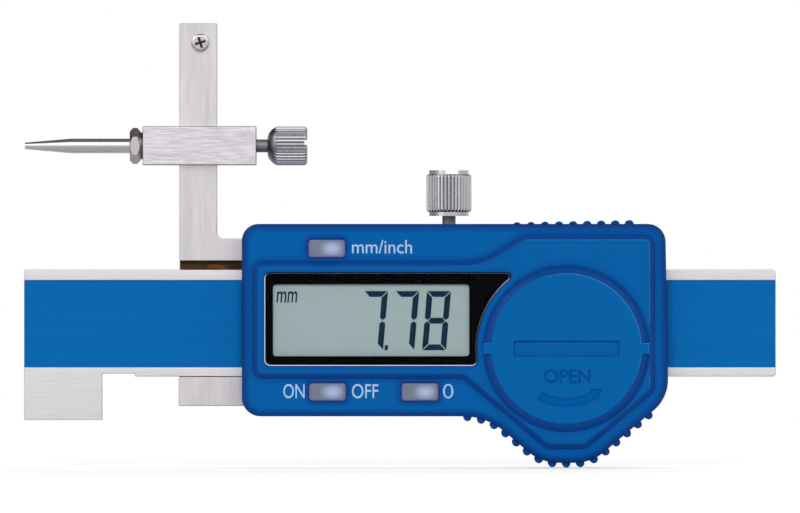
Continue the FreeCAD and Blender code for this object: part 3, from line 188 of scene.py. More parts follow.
def feed(tree, socket, value):
    """Links an input to another node's output, or sets it when the value is plain."""
    if isinstance(value, bpy.types.NodeSocket):
        tree.links.new(value, socket)
    else:
        socket.default_value = value


def feed_all(tree, node, inputs):
    """Links or sets several inputs of a node."""
    for name, value in inputs.items():
        feed(tree, node.inputs[name], value)


def add_node(tree, kind, inputs=None, **settings):
    """A node with its settings, whose inputs are linked to sockets or set to plain values."""
    node = tree.nodes.new(kind)
    for name, value in settings.items():
        setattr(node, name, value)
    feed_all(tree, node, inputs or {})
    return node


def new_material(name):
    """An empty node material, its node tree and its shader."""
    material = bpy.data.materials.new(name)
    material.use_nodes = True
    tree = material.node_tree
    tree.nodes.clear()
    shader = add_node(tree, "ShaderNodeBsdfPrincipled")
    add_node(tree, "ShaderNodeOutputMaterial", {"Surface": shader.outputs["BSDF"]})
    return material, tree, shader


def tree_and_shader(material):
    """The node tree and the shader of a material that is to be changed further."""
    tree = material.node_tree
    return tree, tree.nodes["Principled BSDF"]


def calculate(tree, operation, *values):
    """A maths node whose inputs are sockets or plain numbers."""
    node = add_node(tree, "ShaderNodeMath", dict(enumerate(values)), operation=operation)
    return node.outputs["Value"]


def product(tree, first, *others):
    """Shares multiplied: one only where all of them are one."""
    for other in others:
        first = calculate(tree, "MULTIPLY", first, other)
    return first


def map_range(tree, value, start, end, low=0.0, high=1.0, passage="LINEAR"):
    """A number that goes from low to high while the value goes from start to end."""
    inputs = {"Value": value, "From Min": start, "From Max": end, "To Min": low, "To Max": high}
    return add_node(tree, "ShaderNodeMapRange", inputs, interpolation_type=passage).outputs["Result"]


def share_between(tree, value, start, end):
    """Zero at the start and one at the end, with a soft passage between them."""
    return map_range(tree, value, start, end, passage="SMOOTHSTEP")


def follow_stops(tree, value, stops):
    """A share that follows a value by its stops (value, share)."""
    ramp = add_node(tree, "ShaderNodeValToRGB", {"Fac": value})
    elements = ramp.color_ramp.elements
    while len(elements) < len(stops):
        elements.new(1.0)
    for element, (position, brightness) in zip(elements, stops):
        element.position = position
        element.color = (brightness, brightness, brightness, 1.0)
    return ramp.outputs["Color"]


def mix_colours(tree, kind, share, first, second):
    """A colour mix. The share and the colours are sockets or plain values."""
    inputs = {"Factor": share, "A": first, "B": second}
    blend = add_node(tree, "ShaderNodeMix", inputs, data_type="RGBA", blend_type=kind)
    return blend.outputs["Result"]


def tint_where(tree, shader, share, colour):
    """Mixes a colour into the base colour where the share is one."""
    base = shader.inputs["Base Color"]
    feed(tree, base, mix_colours(tree, "MIX", share, base.links[0].from_socket, colour))


def mix_shaders(tree, share, first, second):
    """The first shader where the share is zero, the second where it is one."""
    return add_node(tree, "ShaderNodeMixShader", {"Fac": share, 1: first, 2: second}).outputs["Shader"]


def object_part(tree, output, axis):
    """One axis of the position or the normal in object coordinates."""
    place = add_node(tree, "ShaderNodeTexCoord")
    split = add_node(tree, "ShaderNodeSeparateXYZ", {"Vector": place.outputs[output]})
    return split.outputs[axis]


def facing_share(tree):
    """One where the surface faces straight forward or back, zero where it faces up, down or sideways."""
    return calculate(tree, "ABSOLUTE", object_part(tree, "Normal", "Y"))


def way_from(tree, axis, middle):
    """How far a place lies beyond a middle along an axis, in metres."""
    return calculate(tree, "SUBTRACT", object_part(tree, "Object", axis), middle)


def distance_from(tree, middles, stretches=(1.0, 1.0)):
    """The distance from a line, given by its place on two axes. A stretch weighs one of them more."""
    squares = []
    for (axis, middle), stretch in zip(middles.items(), stretches):
        way = calculate(tree, "MULTIPLY", way_from(tree, axis, middle), stretch)
        squares.append(calculate(tree, "MULTIPLY", way, way))
    return calculate(tree, "SQRT", calculate(tree, "ADD", *squares))


def cover_distance(tree):
    """How far a place is from the cover's axis."""
    middle_x, middle_z = cover_centre()
    return distance_from(tree, {"X": middle_x * MM, "Z": middle_z * MM})


# Grain: its stretch along the axes, and the part of a noise that is spread over its colours
EVEN = (1.0, 1.0, 1.0)
BEAM_GRAIN = (0.03, 1.0, 1.0)
FRAME_GRAIN = (1.0, 1.0, 0.08)
BLOCK_GRAIN = (0.07, 1.0, 1.0)
GIB_GRAIN = (0.15, 1.0, 1.0)
GIB_BLOTCHES = (0.35, 1.0, 1.0)
GIB_BLOTCH_SCALE = 1100.0
CUTTER_BANDS = (1.0, 1.0, 0.12)
CUTTER_BAND_SCALE = 420.0
CUTTER_BAND_DETAIL = 2.0
FILM_BANDS = (0.02, 1.0, 1.0)
FILM_BAND_SCALE = 900.0
NOISE_DETAIL = 3.0
NOISE_LOW = 0.3
NOISE_HIGH = 0.7

# Strength of the bumps, and the spread of a metal's roughness
METAL_BUMP = 0.6
PLASTIC_BUMP = 0.4
SMOOTHEST = 0.8
ROUGHEST = 1.25


def add_noise(tree, stretch, scale, detail=NOISE_DETAIL):
    """A noise in object coordinates, stretched along the axes."""
    place = add_node(tree, "ShaderNodeTexCoord")
    mapping = add_node(tree, "ShaderNodeMapping", {"Vector": place.outputs["Object"], "Scale": stretch})
    inputs = {"Vector": mapping.outputs["Vector"], "Scale": scale, "Detail": detail}
    return add_node(tree, "ShaderNodeTexNoise", inputs).outputs["Fac"]


def add_ramp(tree, value, low, high):
    """A colour between two colours over the middle of a noise."""
    ramp = add_node(tree, "ShaderNodeValToRGB", {"Fac": value})
    first, last = ramp.color_ramp.elements
    first.position = NOISE_LOW
    first.color = low
    last.position = NOISE_HIGH
    last.color = high
    return ramp.outputs["Color"]


def shaded_ramp(tree, value, colour, contrast):
    """A colour that gets a little darker and lighter with a noise."""
    return add_ramp(tree, value, shade(colour, 1.0 - contrast), shade(colour, 1.0 + contrast))


def add_bump(tree, shader, height, strength, depth_mm):
    """Bumps of the given depth from a noise."""
    inputs = {"Strength": strength, "Distance": depth_mm * MM, "Height": height}
    bump = add_node(tree, "ShaderNodeBump", inputs)
    feed(tree, shader.inputs["Normal"], bump.outputs["Normal"])


# Metals

# Painted shade where the face turns from the reader: (share that faces the reader, share of the tint)
EDGE_STOPS = ((0.0, 0.0), (0.06, 0.0), (0.2, 1.0), (0.85, 1.0), (0.95, 0.0))

BLOTCH_LEAST = -0.6
BLOTCH_MOST = 0.9
GIB_DARK_FROM = 0.4
GIB_DARK_TO = 0.65
NUT_FACE = 0.34

# Thumb screws, with painted shade in their grooves, under their heads and on their stems: grooves in
# millimetres below the head's outside, and the underside by the face's direction
GROOVE_TOP = 0.08
GROOVE_BOTTOM = 0.26
GROOVE_SHADE = 0.7
UNDERSIDE_FROM = -0.05
UNDERSIDE_TO = -0.3
STEM_ROUGHNESS = 0.55


def brushed_metal(name, colour, roughness, grain, depth_mm, contrast, stretch=EVEN):
    """Metal with a grain that runs where the stretch is small."""
    material, tree, shader = new_material(name)
    noise = add_noise(tree, stretch, grain)
    spread = map_range(tree, noise, NOISE_LOW, NOISE_HIGH, roughness * SMOOTHEST, roughness * ROUGHEST)
    feed_all(tree, shader, {"Base Color": shaded_ramp(tree, noise, colour, contrast),
                            "Roughness": spread, "Metallic": 1.0})
    add_bump(tree, shader, noise, METAL_BUMP, depth_mm)
    return material


def tint_edges(tree, shader, colour):
    """Paints shade on the broken edges and slopes that turn away from straight forward or back."""
    tint_where(tree, shader, follow_stops(tree, facing_share(tree), EDGE_STOPS), colour)


def edged_metal(name, colour, edge_shade, **measures):
    """Brushed metal whose broken edges get painted shade."""
    material = brushed_metal(name, colour, **measures)
    tree, shader = tree_and_shader(material)
    tint_edges(tree, shader, shade(colour, edge_shade))
    return material


def banded_metal(name, colour, edge_shade, **measures):
    """Edged metal with wide faint bands, slightly warm and cool, which the cutter left along it."""
    material = brushed_metal(name, colour, **measures)
    tree, shader = tree_and_shader(material)
    noise = add_noise(tree, CUTTER_BANDS, CUTTER_BAND_SCALE, CUTTER_BAND_DETAIL)
    bands = add_ramp(tree, noise, COOL_BAND, WARM_BAND)
    base = shader.inputs["Base Color"]
    feed(tree, base, mix_colours(tree, "MULTIPLY", 1.0, base.links[0].from_socket, bands))
    tint_edges(tree, shader, shade(colour, edge_shade))
    return material


def tarnished_shaded_bronze(name, node_name):
    """Dark bronze with orange blotches, and painted shade towards its upper edge, which lies in a groove.
    """
    material = brushed_metal(name, GIB_BRONZE, roughness=0.4, grain=3000.0, depth_mm=0.004, contrast=0.45,
                             stretch=GIB_GRAIN)
    tree, shader = tree_and_shader(material)
    noise = add_noise(tree, GIB_BLOTCHES, GIB_BLOTCH_SCALE)
    blotches = map_range(tree, noise, NOISE_LOW, NOISE_HIGH, BLOTCH_LEAST, BLOTCH_MOST)
    tint_where(tree, shader, calculate(tree, "MAXIMUM", blotches, 0.0), BLOTCH_ORANGE)
    # Painted shade: darker towards the upper edge, which lies in a groove
    low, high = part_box(node_name)
    start = low.z + GIB_DARK_FROM * (high.z - low.z)
    end = low.z + GIB_DARK_TO * (high.z - low.z)
    tint_where(tree, shader, map_range(tree, object_part(tree, "Object", "Z"), start, end), GIB_DARK)
    return material


def washer_nut(name, node_name):
    """A plated nut whose sloping flats are painted a darker brown as painted shade, with painted shade on
    the washer face that meets the block.
    """
    material = brushed_metal(name, BRIGHT_STEEL, roughness=0.2, grain=3000.0, depth_mm=0.001, contrast=0.05)
    tree, shader = tree_and_shader(material)
    tint_edges(tree, shader, NUT_BROWN)
    # Painted shade on the face next to the block, between the nut and the block
    face_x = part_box(node_name)[1].x - NUT_FACE * MM
    face = calculate(tree, "GREATER_THAN", object_part(tree, "Object", "X"), face_x)
    tint_where(tree, shader, face, NUT_GAP_SHADE)
    return material


def knurled_metal(name, node_name, axis, stem_mm, stem_shade, under_shade):
    """Turned steel with painted shade in a head's grooves, below it and on its stem, where it is also
    rougher. axis names its own axis.
    """
    material = brushed_metal(name, KNURLED_STEEL, roughness=0.3, grain=3000.0, depth_mm=0.002,
                             contrast=0.04)
    tree, shader = tree_and_shader(material)
    low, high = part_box(node_name)
    middles = {letter: (low[number] + high[number]) / 2 for number, letter in enumerate("XYZ")}
    del middles[axis]
    distance = distance_from(tree, middles)
    head_radius = (high.y - low.y) / 2
    # Painted shade in the grooves, on the underside and on the stem
    below_top = calculate(tree, "LESS_THAN", distance, head_radius - GROOVE_TOP * MM)
    above_bottom = calculate(tree, "GREATER_THAN", distance, head_radius - GROOVE_BOTTOM * MM)
    tint_where(tree, shader, product(tree, below_top, above_bottom), shade(KNURLED_STEEL, GROOVE_SHADE))
    under = map_range(tree, object_part(tree, "Normal", axis), UNDERSIDE_FROM, UNDERSIDE_TO)
    tint_where(tree, shader, under, shade(KNURLED_STEEL, under_shade))
    stem = calculate(tree, "LESS_THAN", distance, stem_mm * MM)
    tint_where(tree, shader, stem, shade(KNURLED_STEEL, stem_shade))
    rough = shader.inputs["Roughness"]
    dull = calculate(tree, "MULTIPLY", stem, STEM_ROUGHNESS)
    feed(tree, rough, calculate(tree, "MAXIMUM", rough.links[0].from_socket, dull))
    return material


def recessed_screw(name, node_name, depth_mm, reach_mm):
    """A bright screw head with painted shade in its cross recess."""
    material = brushed_metal(name, BRIGHT_STEEL, roughness=0.16, grain=3000.0, depth_mm=0.001,
                             contrast=0.02)
    tree, shader = tree_and_shader(material)
    low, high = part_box(node_name)
    distance = distance_from(tree, {"X": (low.x + high.x) / 2, "Z": (low.z + high.z) / 2})
    # Painted shade in the cross recess
    near = calculate(tree, "LESS_THAN", distance, reach_mm * MM)
    deep = calculate(tree, "GREATER_THAN", object_part(tree, "Object", "Y"), low.y + depth_mm * MM)
    tint_where(tree, shader, product(tree, near, deep), RECESS_SHADE)
    return material


# Plastics

# Slopes and soft edges of the case, for its painted shade, painted dark outline, painted crown shade and
# painted edge highlight: (share that faces the reader, share of the tint)
SLOPE_STOPS = ((0.0, 0.0), (0.1, 0.0), (0.2, 1.0), (0.86, 1.0), (0.995, 0.0))
LINE_STOPS = ((0.0, 0.0), (0.12, 0.0), (0.2, 0.8), (0.45, 0.8), (0.62, 0.0))
FAINT_LINE_STOPS = ((0.0, 0.0), (0.12, 0.0), (0.2, 0.15), (0.45, 0.15), (0.62, 0.0))
CROWN_STOPS = ((0.0, 0.0), (0.3, 0.0), (0.6, 0.8), (0.93, 0.8), (0.975, 0.5), (1.0, 0.0))
EDGE_HIGHLIGHT_STOPS = ((0.0, 0.0), (0.9, 0.0), (0.92, 0.8), (0.99, 0.8), (0.999, 0.0), (1.0, 0.0))

# Rounding of the case's edges and of its crown, whose painted shade darkens the case towards its edges, in
# millimetres, and the crown shade's strength on the field
SOFT_EDGE = 0.25
CROWN = 1.9
FIELD_CROWN = 0.4
ROUNDING_SAMPLES = 8

# Grip beads, whose ends get painted shade: how far behind the face they stand, and how squarely their ends
# face the reader
BEAD_SHIFT = 0.2
FACING_SQUARELY = 0.98

# Painted highlight on the upper right edges: the face's turn up and right, the columns of the photograph,
# and the play of the level
EDGE_HIGHLIGHT_FROM = 0.1
EDGE_HIGHLIGHT_TO = 0.22
EDGE_HIGHLIGHT_COLUMNS = (430.0, 540.0)
LEVEL_PLAY = 0.05

# Millimetres from the cover's axis: where the painted dark outline and painted highlight start, and where
# the gap's painted glow grows and fades
CASE_LINES_FROM = 13.0
COVER_LINES_FROM = 10.0
GAP_INSIDE = (12.05, 12.35)
GAP_OUTSIDE = (12.65, 12.5)
GAP_GLOW = 0.55

# Buttons, in millimetres: the painted highlight's shift and reach, and the half sizes
CORE_SHIFT = 0.8
CORE_REACH = 2.3
BUTTON_HALF_WIDTH = 2.75
BUTTON_HALF_HEIGHT = 1.3

# Buttons, as shares: the painted highlight's flatness, the start of the rim, and the painted glow of the
# side walls
CORE_STRETCH = 1.5
BUTTON_RIM_FROM = 0.72
BUTTON_SIDE = 0.9
BUTTON_GLOW = 0.3

# The pane: how much painted light and glow each side of its edge gets, and its gloss
PANE_LEFT_GLOW = -0.8
PANE_LOW_GLOW = -1.0
PANE_LEAST_GLOW = 0.2
PANE_FULL_GLOW = 0.8
PANE_GLOW = 0.3
PANE_EDGE_ROUGHNESS = 0.3
PANE_ROUGHNESS = 0.03
PANE_INDEX = 1.14

# Striped rubber: the scale of its layers
RUBBER_STRIPES = 1600.0
RUBBER_ROUGHNESS = 0.6


def moulded_plastic(name, colour, roughness, grain=9000.0, depth_mm=0.01, specular=0.5, contrast=0.03):
    """Plastic or rubber with a fine even grain."""
    material, tree, shader = new_material(name)
    noise = add_noise(tree, EVEN, grain)
    feed_all(tree, shader, {"Base Color": shaded_ramp(tree, noise, colour, contrast),
                            "Roughness": roughness, "Specular IOR Level": specular})
    add_bump(tree, shader, noise, PLASTIC_BUMP, depth_mm)
    return material


def printed_film(name, colour, roughness, grain, depth_mm, specular, contrast):
    """Smooth printed film with faint bands along its length."""
    material, tree, shader = new_material(name)
    bands = add_noise(tree, FILM_BANDS, FILM_BAND_SCALE)
    feed_all(tree, shader, {"Base Color": shaded_ramp(tree, bands, colour, contrast),
                            "Roughness": roughness, "Specular IOR Level": specular})
    add_bump(tree, shader, add_noise(tree, EVEN, grain), PLASTIC_BUMP, depth_mm)
    return material


def rounded_normal(tree, radius_mm):
    """The normal as if every edge were rounded by the radius, and the share that faces the reader."""
    soft = add_node(tree, "ShaderNodeBevel", {"Radius": radius_mm * MM}, samples=ROUNDING_SAMPLES)
    split = add_node(tree, "ShaderNodeSeparateXYZ", {"Vector": soft.outputs["Normal"]})
    return soft.outputs["Normal"], calculate(tree, "ABSOLUTE", split.outputs["Y"])


def edge_highlight_share(tree, normal, facing, level_mm):
    """One on the upper right edges of a raised face, where a highlight is painted."""
    split = add_node(tree, "ShaderNodeSeparateXYZ", {"Vector": normal})
    upper_right = calculate(tree, "ADD", split.outputs["X"], split.outputs["Z"])
    start, end = [column_to_x(column) * MM for column in EDGE_HIGHLIGHT_COLUMNS]
    on_level = -(level_mm - LEVEL_PLAY) * MM
    return product(
        tree,
        share_between(tree, upper_right, EDGE_HIGHLIGHT_FROM, EDGE_HIGHLIGHT_TO),
        follow_stops(tree, facing, EDGE_HIGHLIGHT_STOPS),
        calculate(tree, "LESS_THAN", object_part(tree, "Object", "Y"), on_level),
        share_between(tree, object_part(tree, "Object", "X"), start, end),
    )


def glow_in_gap(tree, shader):
    """A painted glow in the gap round the cover, so that the gap is never black."""
    distance = cover_distance(tree)
    inside, outside = [share_between(tree, distance, start * MM, end * MM)
                       for start, end in (GAP_INSIDE, GAP_OUTSIDE)]
    glow = product(tree, inside, outside, GAP_GLOW)
    feed_all(tree, shader, {"Emission Color": GAP_BLUE, "Emission Strength": glow})


def moulded_case(name, colour, line_stops, level_mm, lines_from_mm):
    """Satin moulding with soft edges: painted shade on its slopes, a painted dark outer line, a painted
    highlight on its upper right edges and a painted glow in the gap round the cover.
    """
    material = moulded_plastic(name, colour, roughness=0.4, grain=7000.0, depth_mm=0.008, specular=0.1)
    tree, shader = tree_and_shader(material)
    normal, facing = rounded_normal(tree, SOFT_EDGE)
    bump = shader.inputs["Normal"].links[0].from_node
    feed(tree, bump.inputs["Normal"], normal)
    # Painted shade on the slopes
    tint_where(tree, shader, follow_stops(tree, facing, SLOPE_STOPS), SLOPE_SHADE_NAVY)
    # Painted dark outline, and below it a painted highlight, only beyond a distance from the cover's axis
    outside = calculate(tree, "GREATER_THAN", cover_distance(tree), lines_from_mm * MM)
    tint_where(tree, shader, product(tree, follow_stops(tree, facing, line_stops), outside), OUTLINE_SHADE_NAVY)
    # Painted highlight on the upper right edges
    highlight = edge_highlight_share(tree, normal, facing, level_mm)
    tint_where(tree, shader, product(tree, highlight, outside), EDGE_HIGHLIGHT_BLUE)
    # Painted glow in the gap round the cover
    glow_in_gap(tree, shader)
    return material


def beaded_case(name, colour):
    """The case's moulding with painted shade that darkens it towards its edges, and painted shade on the
    grip beads behind its face.
    """
    material = moulded_case(name, colour, LINE_STOPS, FACE_FRONT + FIELD_RISE, CASE_LINES_FROM)
    tree, shader = tree_and_shader(material)
    depth = object_part(tree, "Object", "Y")
    low_rim = calculate(tree, "GREATER_THAN", depth, -(FACE_FRONT + FIELD_RISE / 2) * MM)
    strength = calculate(tree, "MAXIMUM", low_rim, FIELD_CROWN)
    # Painted shade towards the edges, weaker on the raised field
    crown = follow_stops(tree, rounded_normal(tree, CROWN)[1], CROWN_STOPS)
    tint_where(tree, shader, product(tree, crown, strength), CROWN_SHADE_BLUE)
    # Painted shade on the ends of the grip beads
    squarely = calculate(tree, "GREATER_THAN", facing_share(tree), FACING_SQUARELY)
    back = calculate(tree, "GREATER_THAN", depth, (BEAD_SHIFT - FACE_FRONT) * MM)
    tint_where(tree, shader, product(tree, squarely, back), BEAD_SHADE_BLUE)
    return material


def share_of_half(tree, axis, middle, half_mm):
    """How far from a middle a place is along an axis, as a share of the half width."""
    way = calculate(tree, "ABSOLUTE", way_from(tree, axis, middle))
    return calculate(tree, "DIVIDE", way, half_mm * MM)


def translucent_button(name, node_name):
    """Smoky translucent plastic with a painted highlight a little right of its middle, a mauve rim, and a
    painted glow on its side walls.
    """
    material = moulded_plastic(name, BUTTON_SMOKE, roughness=0.28, grain=5000.0, depth_mm=0.004,
                               specular=0.4)
    tree, shader = tree_and_shader(material)
    low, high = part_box(node_name)
    middle_x = (low.x + high.x) / 2
    middle_z = (low.z + high.z) / 2
    # Painted highlight a little right of the middle
    distance = distance_from(tree, {"X": middle_x + CORE_SHIFT * MM, "Z": middle_z}, (1.0, CORE_STRETCH))
    tint_where(tree, shader, share_between(tree, distance, CORE_REACH * MM, 0.0), BUTTON_HIGHLIGHT)
    wide = share_of_half(tree, "X", middle_x, BUTTON_HALF_WIDTH)
    tall = share_of_half(tree, "Z", middle_z, BUTTON_HALF_HEIGHT)
    rim = share_between(tree, calculate(tree, "MAXIMUM", wide, tall), BUTTON_RIM_FROM, 1.0)
    tint_where(tree, shader, rim, BUTTON_EDGE)
    # Painted glow on the side walls, though they are no lamp
    sides = calculate(tree, "LESS_THAN", facing_share(tree), BUTTON_SIDE)
    glow = product(tree, sides, BUTTON_GLOW)
    feed_all(tree, shader, {"Emission Color": BUTTON_EDGE, "Emission Strength": glow})
    return material


def glowing_rim(name):
    """The pane's polished edge: painted light and a painted glow on its lower and left sides, and painted
    shade on its upper and right sides.
    """
    material, tree, shader = new_material(name)
    # Painted light and shade by the way the edge faces, and a painted glow
    left = calculate(tree, "MULTIPLY", object_part(tree, "Normal", "X"), PANE_LEFT_GLOW)
    low = calculate(tree, "MULTIPLY", object_part(tree, "Normal", "Z"), PANE_LOW_GLOW)
    glow = calculate(tree, "ADD", calculate(tree, "ADD", left, low), PANE_LEAST_GLOW)
    ramp = add_node(tree, "ShaderNodeValToRGB", {"Fac": glow})
    first, last = ramp.color_ramp.elements
    first.color = RIM_DARK
    last.position = PANE_FULL_GLOW
    last.color = RIM_LIGHT
    colour = ramp.outputs["Color"]
    feed_all(tree, shader, {"Base Color": colour, "Emission Color": colour,
                            "Emission Strength": PANE_GLOW, "Roughness": PANE_EDGE_ROUGHNESS})
    return material


def clear_window(name):
    """Clear coated acrylic: seen through, with a faint gloss that grows towards grazing views."""
    material, tree, shader = new_material(name)
    tree.nodes.remove(shader)
    through = add_node(tree, "ShaderNodeBsdfTransparent").outputs["BSDF"]
    gloss = add_node(tree, "ShaderNodeBsdfGlossy", {"Roughness": PANE_ROUGHNESS}).outputs["BSDF"]
    grazing = add_node(tree, "ShaderNodeFresnel", {"IOR": PANE_INDEX}).outputs["Fac"]
    output = tree.nodes["Material Output"]
    feed(tree, output.inputs["Surface"], mix_shaders(tree, grazing, through, gloss))
    return material


def striped_rubber(name):
    """Pink rubber with thin dark conducting layers across its length."""
    material, tree, shader = new_material(name)
    place = add_node(tree, "ShaderNodeTexCoord")
    inputs = {"Vector": place.outputs["Object"], "Scale": RUBBER_STRIPES}
    wave = add_node(tree, "ShaderNodeTexWave", inputs, bands_direction="X")
    colour = add_ramp(tree, wave.outputs["Fac"], RUBBER_DARK, RUBBER_PINK)
    feed_all(tree, shader, {"Base Color": colour, "Roughness": RUBBER_ROUGHNESS})
    return material


def make_metals():
    """The metals, by their slots."""
    return {
        "ground_steel": edged_metal("ground_steel", STEEL, edge_shade=0.5, roughness=0.3, grain=5200.0,
                                    depth_mm=0.002, contrast=0.04, stretch=BEAM_GRAIN),
        "milled_steel": banded_metal("milled_steel", WARM_STEEL, edge_shade=0.35, roughness=0.34,
                                     grain=2200.0, depth_mm=0.004, contrast=0.05, stretch=FRAME_GRAIN),
        "block_steel": edged_metal("block_steel", BLOCK_STEEL, edge_shade=0.15, roughness=0.32,
                                   grain=5600.0, depth_mm=0.02, contrast=0.2, stretch=BLOCK_GRAIN),
        "plated_steel": brushed_metal("plated_steel", PLATED_STEEL, roughness=0.17, grain=3000.0,
                                      depth_mm=0.001, contrast=0.02),
        "knurled_steel": brushed_metal("knurled_steel", TURNED_STEEL, roughness=0.2, grain=3000.0,
                                       depth_mm=0.002, contrast=0.04),
        "screw_steel": brushed_metal("screw_steel", DARK_STEEL, roughness=0.3, grain=4000.0,
                                     depth_mm=0.002, contrast=0.05),
        "gib_bronze": tarnished_shaded_bronze("gib_bronze", "gib"),
        "cell_steel": brushed_metal("cell_steel", CELL_STEEL, roughness=0.25, grain=3500.0,
                                    depth_mm=0.002, contrast=0.03),
        "contact_metal": brushed_metal("contact_metal", CONTACT_BRONZE, roughness=0.25, grain=3500.0,
                                       depth_mm=0.002, contrast=0.04),
    }


def make_plastics():
    """The plastics, rubbers, films and glasses, by their slots."""
    return {
        "strip_laminate": moulded_plastic("strip_laminate", LAMINATE, roughness=0.45),
        "label_blue": printed_film("label_blue", FILM_BLUE, roughness=0.3, grain=2500.0, depth_mm=0.001,
                                   specular=0.1, contrast=0.05),
        "case_blue": beaded_case("case_blue", CASE_BLUE),
        "cover_blue": moulded_case("cover_blue", COVER_BLUE, FAINT_LINE_STOPS, COVER_FRONT,
                                   COVER_LINES_FROM),
        "window_clear": clear_window("window_clear"),
        "mask_black": moulded_plastic("mask_black", MASK_BLACK, roughness=0.5, grain=4000.0,
                                      depth_mm=0.0002, specular=0.0),
        "display_grey": moulded_plastic("display_grey", DISPLAY_GREY, roughness=0.4, grain=800.0,
                                        depth_mm=0.001, specular=0.1, contrast=0.015),
        "holder_white": moulded_plastic("holder_white", HOLDER_WHITE, roughness=0.5),
        "contact_rubber": striped_rubber("contact_rubber"),
        "board_green": moulded_plastic("board_green", BOARD_GREEN, roughness=0.4, grain=3000.0,
                                       depth_mm=0.004, contrast=0.08),
        "resin_black": moulded_plastic("resin_black", RESIN_BLACK, roughness=0.25, grain=1500.0),
        "switch_grey": moulded_plastic("switch_grey", SWITCH_GREY, roughness=0.4),
        "cradle_black": moulded_plastic("cradle_black", CRADLE_BLACK, roughness=0.5),
        "seal_rubber": moulded_plastic("seal_rubber", SEAL_BLACK, roughness=0.7),
        "button_grey": moulded_plastic("button_grey", BUTTON_GREY, roughness=0.3, grain=5000.0,
                                       depth_mm=0.004),
    }


def make_closer_materials():
    """Materials for the nodes that need a closer look than their slot's own."""
    closer = {
        "lock_screw": knurled_metal("knurled_steel_lock", "lock_screw", "Z", stem_mm=1.3,
                                    stem_shade=0.45, under_shade=0.2),
        "clamp_screw": knurled_metal("knurled_steel_clamp", "clamp_screw", "X", stem_mm=1.1,
                                     stem_shade=0.52, under_shade=0.4),
        "stylus_nut": washer_nut("plated_steel_nut", "stylus_nut"),
        "post_stop_screw": recessed_screw("plated_steel_recess", "post_stop_screw", depth_mm=0.3,
                                          reach_mm=1.0),
    }
    for name in ("unit_button", "power_button", "zero_button"):
        closer[name] = translucent_button("button_grey_" + name, name)
    return closer


def dress_nodes():
    """Gives every CAD node the material of its slot, or its closer one."""
    materials = make_metals() | make_plastics()
    closer = make_closer_materials()
    for name, node in NODES.items():
        node.data.materials.clear()
        node.data.materials.append(closer.get(name) or materials[SLOT_OF[name]])


# Small edge breaks that the solids leave out, in millimetres
EDGE_BREAKS = {"beam": 0.1, "slider_frame": 0.12, "stylus_block": 0.16, "end_stop": 0.15}
RIM_WIDTH = 0.14

# The window's second material, the number of faces across a break, and the weight of large faces
RIM_SLOT = 1
BREAK_SEGMENTS = 2
LARGE_FACE_WEIGHT = 100

# Points closer than this are one point, in millimetres
SAME_POINT = 0.001
COVER_SAME_POINT = 0.002

# Angles in degrees: sharper edges are broken, and flatter ones are merged away
SHARP_EDGE = 50.0
SAME_PLANE = 0.5


def break_edges(node, width_mm):
    """Rounds a node's sharp edges a little, so that they catch or lose the light."""
    merge = node.modifiers.new("merge", "WELD")
    merge.merge_threshold = SAME_POINT * MM
    flat = node.modifiers.new("flat", "DECIMATE")
    flat.decimate_type = "DISSOLVE"
    flat.angle_limit = math.radians(SAME_PLANE)
    edge = node.modifiers.new("edge", "BEVEL")
    edge.width = width_mm * MM
    edge.segments = BREAK_SEGMENTS
    edge.limit_method = "ANGLE"
    edge.angle_limit = math.radians(SHARP_EDGE)
    edge.use_clamp_overlap = False
    normals = node.modifiers.new("normals", "WEIGHTED_NORMAL")
    normals.weight = LARGE_FACE_WEIGHT
    return edge


def break_all_edges():
    """Breaks the edges of the steel pieces and gives the window its glowing rim."""
    for name, width_mm in EDGE_BREAKS.items():
        break_edges(NODES[name], width_mm)
    window = NODES["display_window"]
    window.data.materials.append(glowing_rim("window_rim"))
    rim = break_edges(window, RIM_WIDTH)
    rim.material = RIM_SLOT


# Pieces added to the CAD model


def anticlockwise(outline):
    """The outline's points in the order that turns anticlockwise for the reader."""
    after = outline[1:] + outline[:1]
    twice_area = sum(x * next_z - next_x * z for (x, z), (next_x, next_z) in zip(outline, after))
    return outline if twice_area > 0.0 else outline[::-1]


def new_plate(name, outlines, front, thickness, material):
    """Thin flat shapes, given by points (x, z) in mm, whose back lies on a level in front of the beam."""
    vertices = []
    faces = []
    for outline in map(anticlockwise, outlines):
        start = len(vertices)
        count = len(outline)
        for level in (front, front + thickness):
            vertices += [(x * MM, -level * MM, z * MM) for x, z in outline]
        faces.append([start + i for i in range(count)][::-1])
        faces.append([start + count + i for i in range(count)])
        for i in range(count):
            after = (i + 1) % count
            faces.append([start + i, start + after, start + count + after, start + count + i])
    mesh = bpy.data.meshes.new(name)
    mesh.from_pydata(vertices, [], faces)
    mesh.materials.append(material)
    mesh.update()
    piece = bpy.data.objects.new(name, mesh)
    bpy.context.scene.collection.objects.link(piece)
    return piece


# Seven segments of one digit, in millimetres, before the slant
DIGIT_WIDTH = 3.6
DIGIT_HEIGHT = 8.84
STROKE = 0.88
SEGMENT_GAP = 0.09
SLANT = 0.085
DIGIT_BOTTOM = -4.03
DIGIT_LEFTS = (50.89, 55.55, 60.30)
DIGIT_TEXT = "778"
LIT_SEGMENTS = {"7": "abc", "8": "abcdefg"}

# Decimal point, in millimetres
POINT_WIDTH = 0.5
POINT_HEIGHT = 0.76
POINT_GAP = 0.2


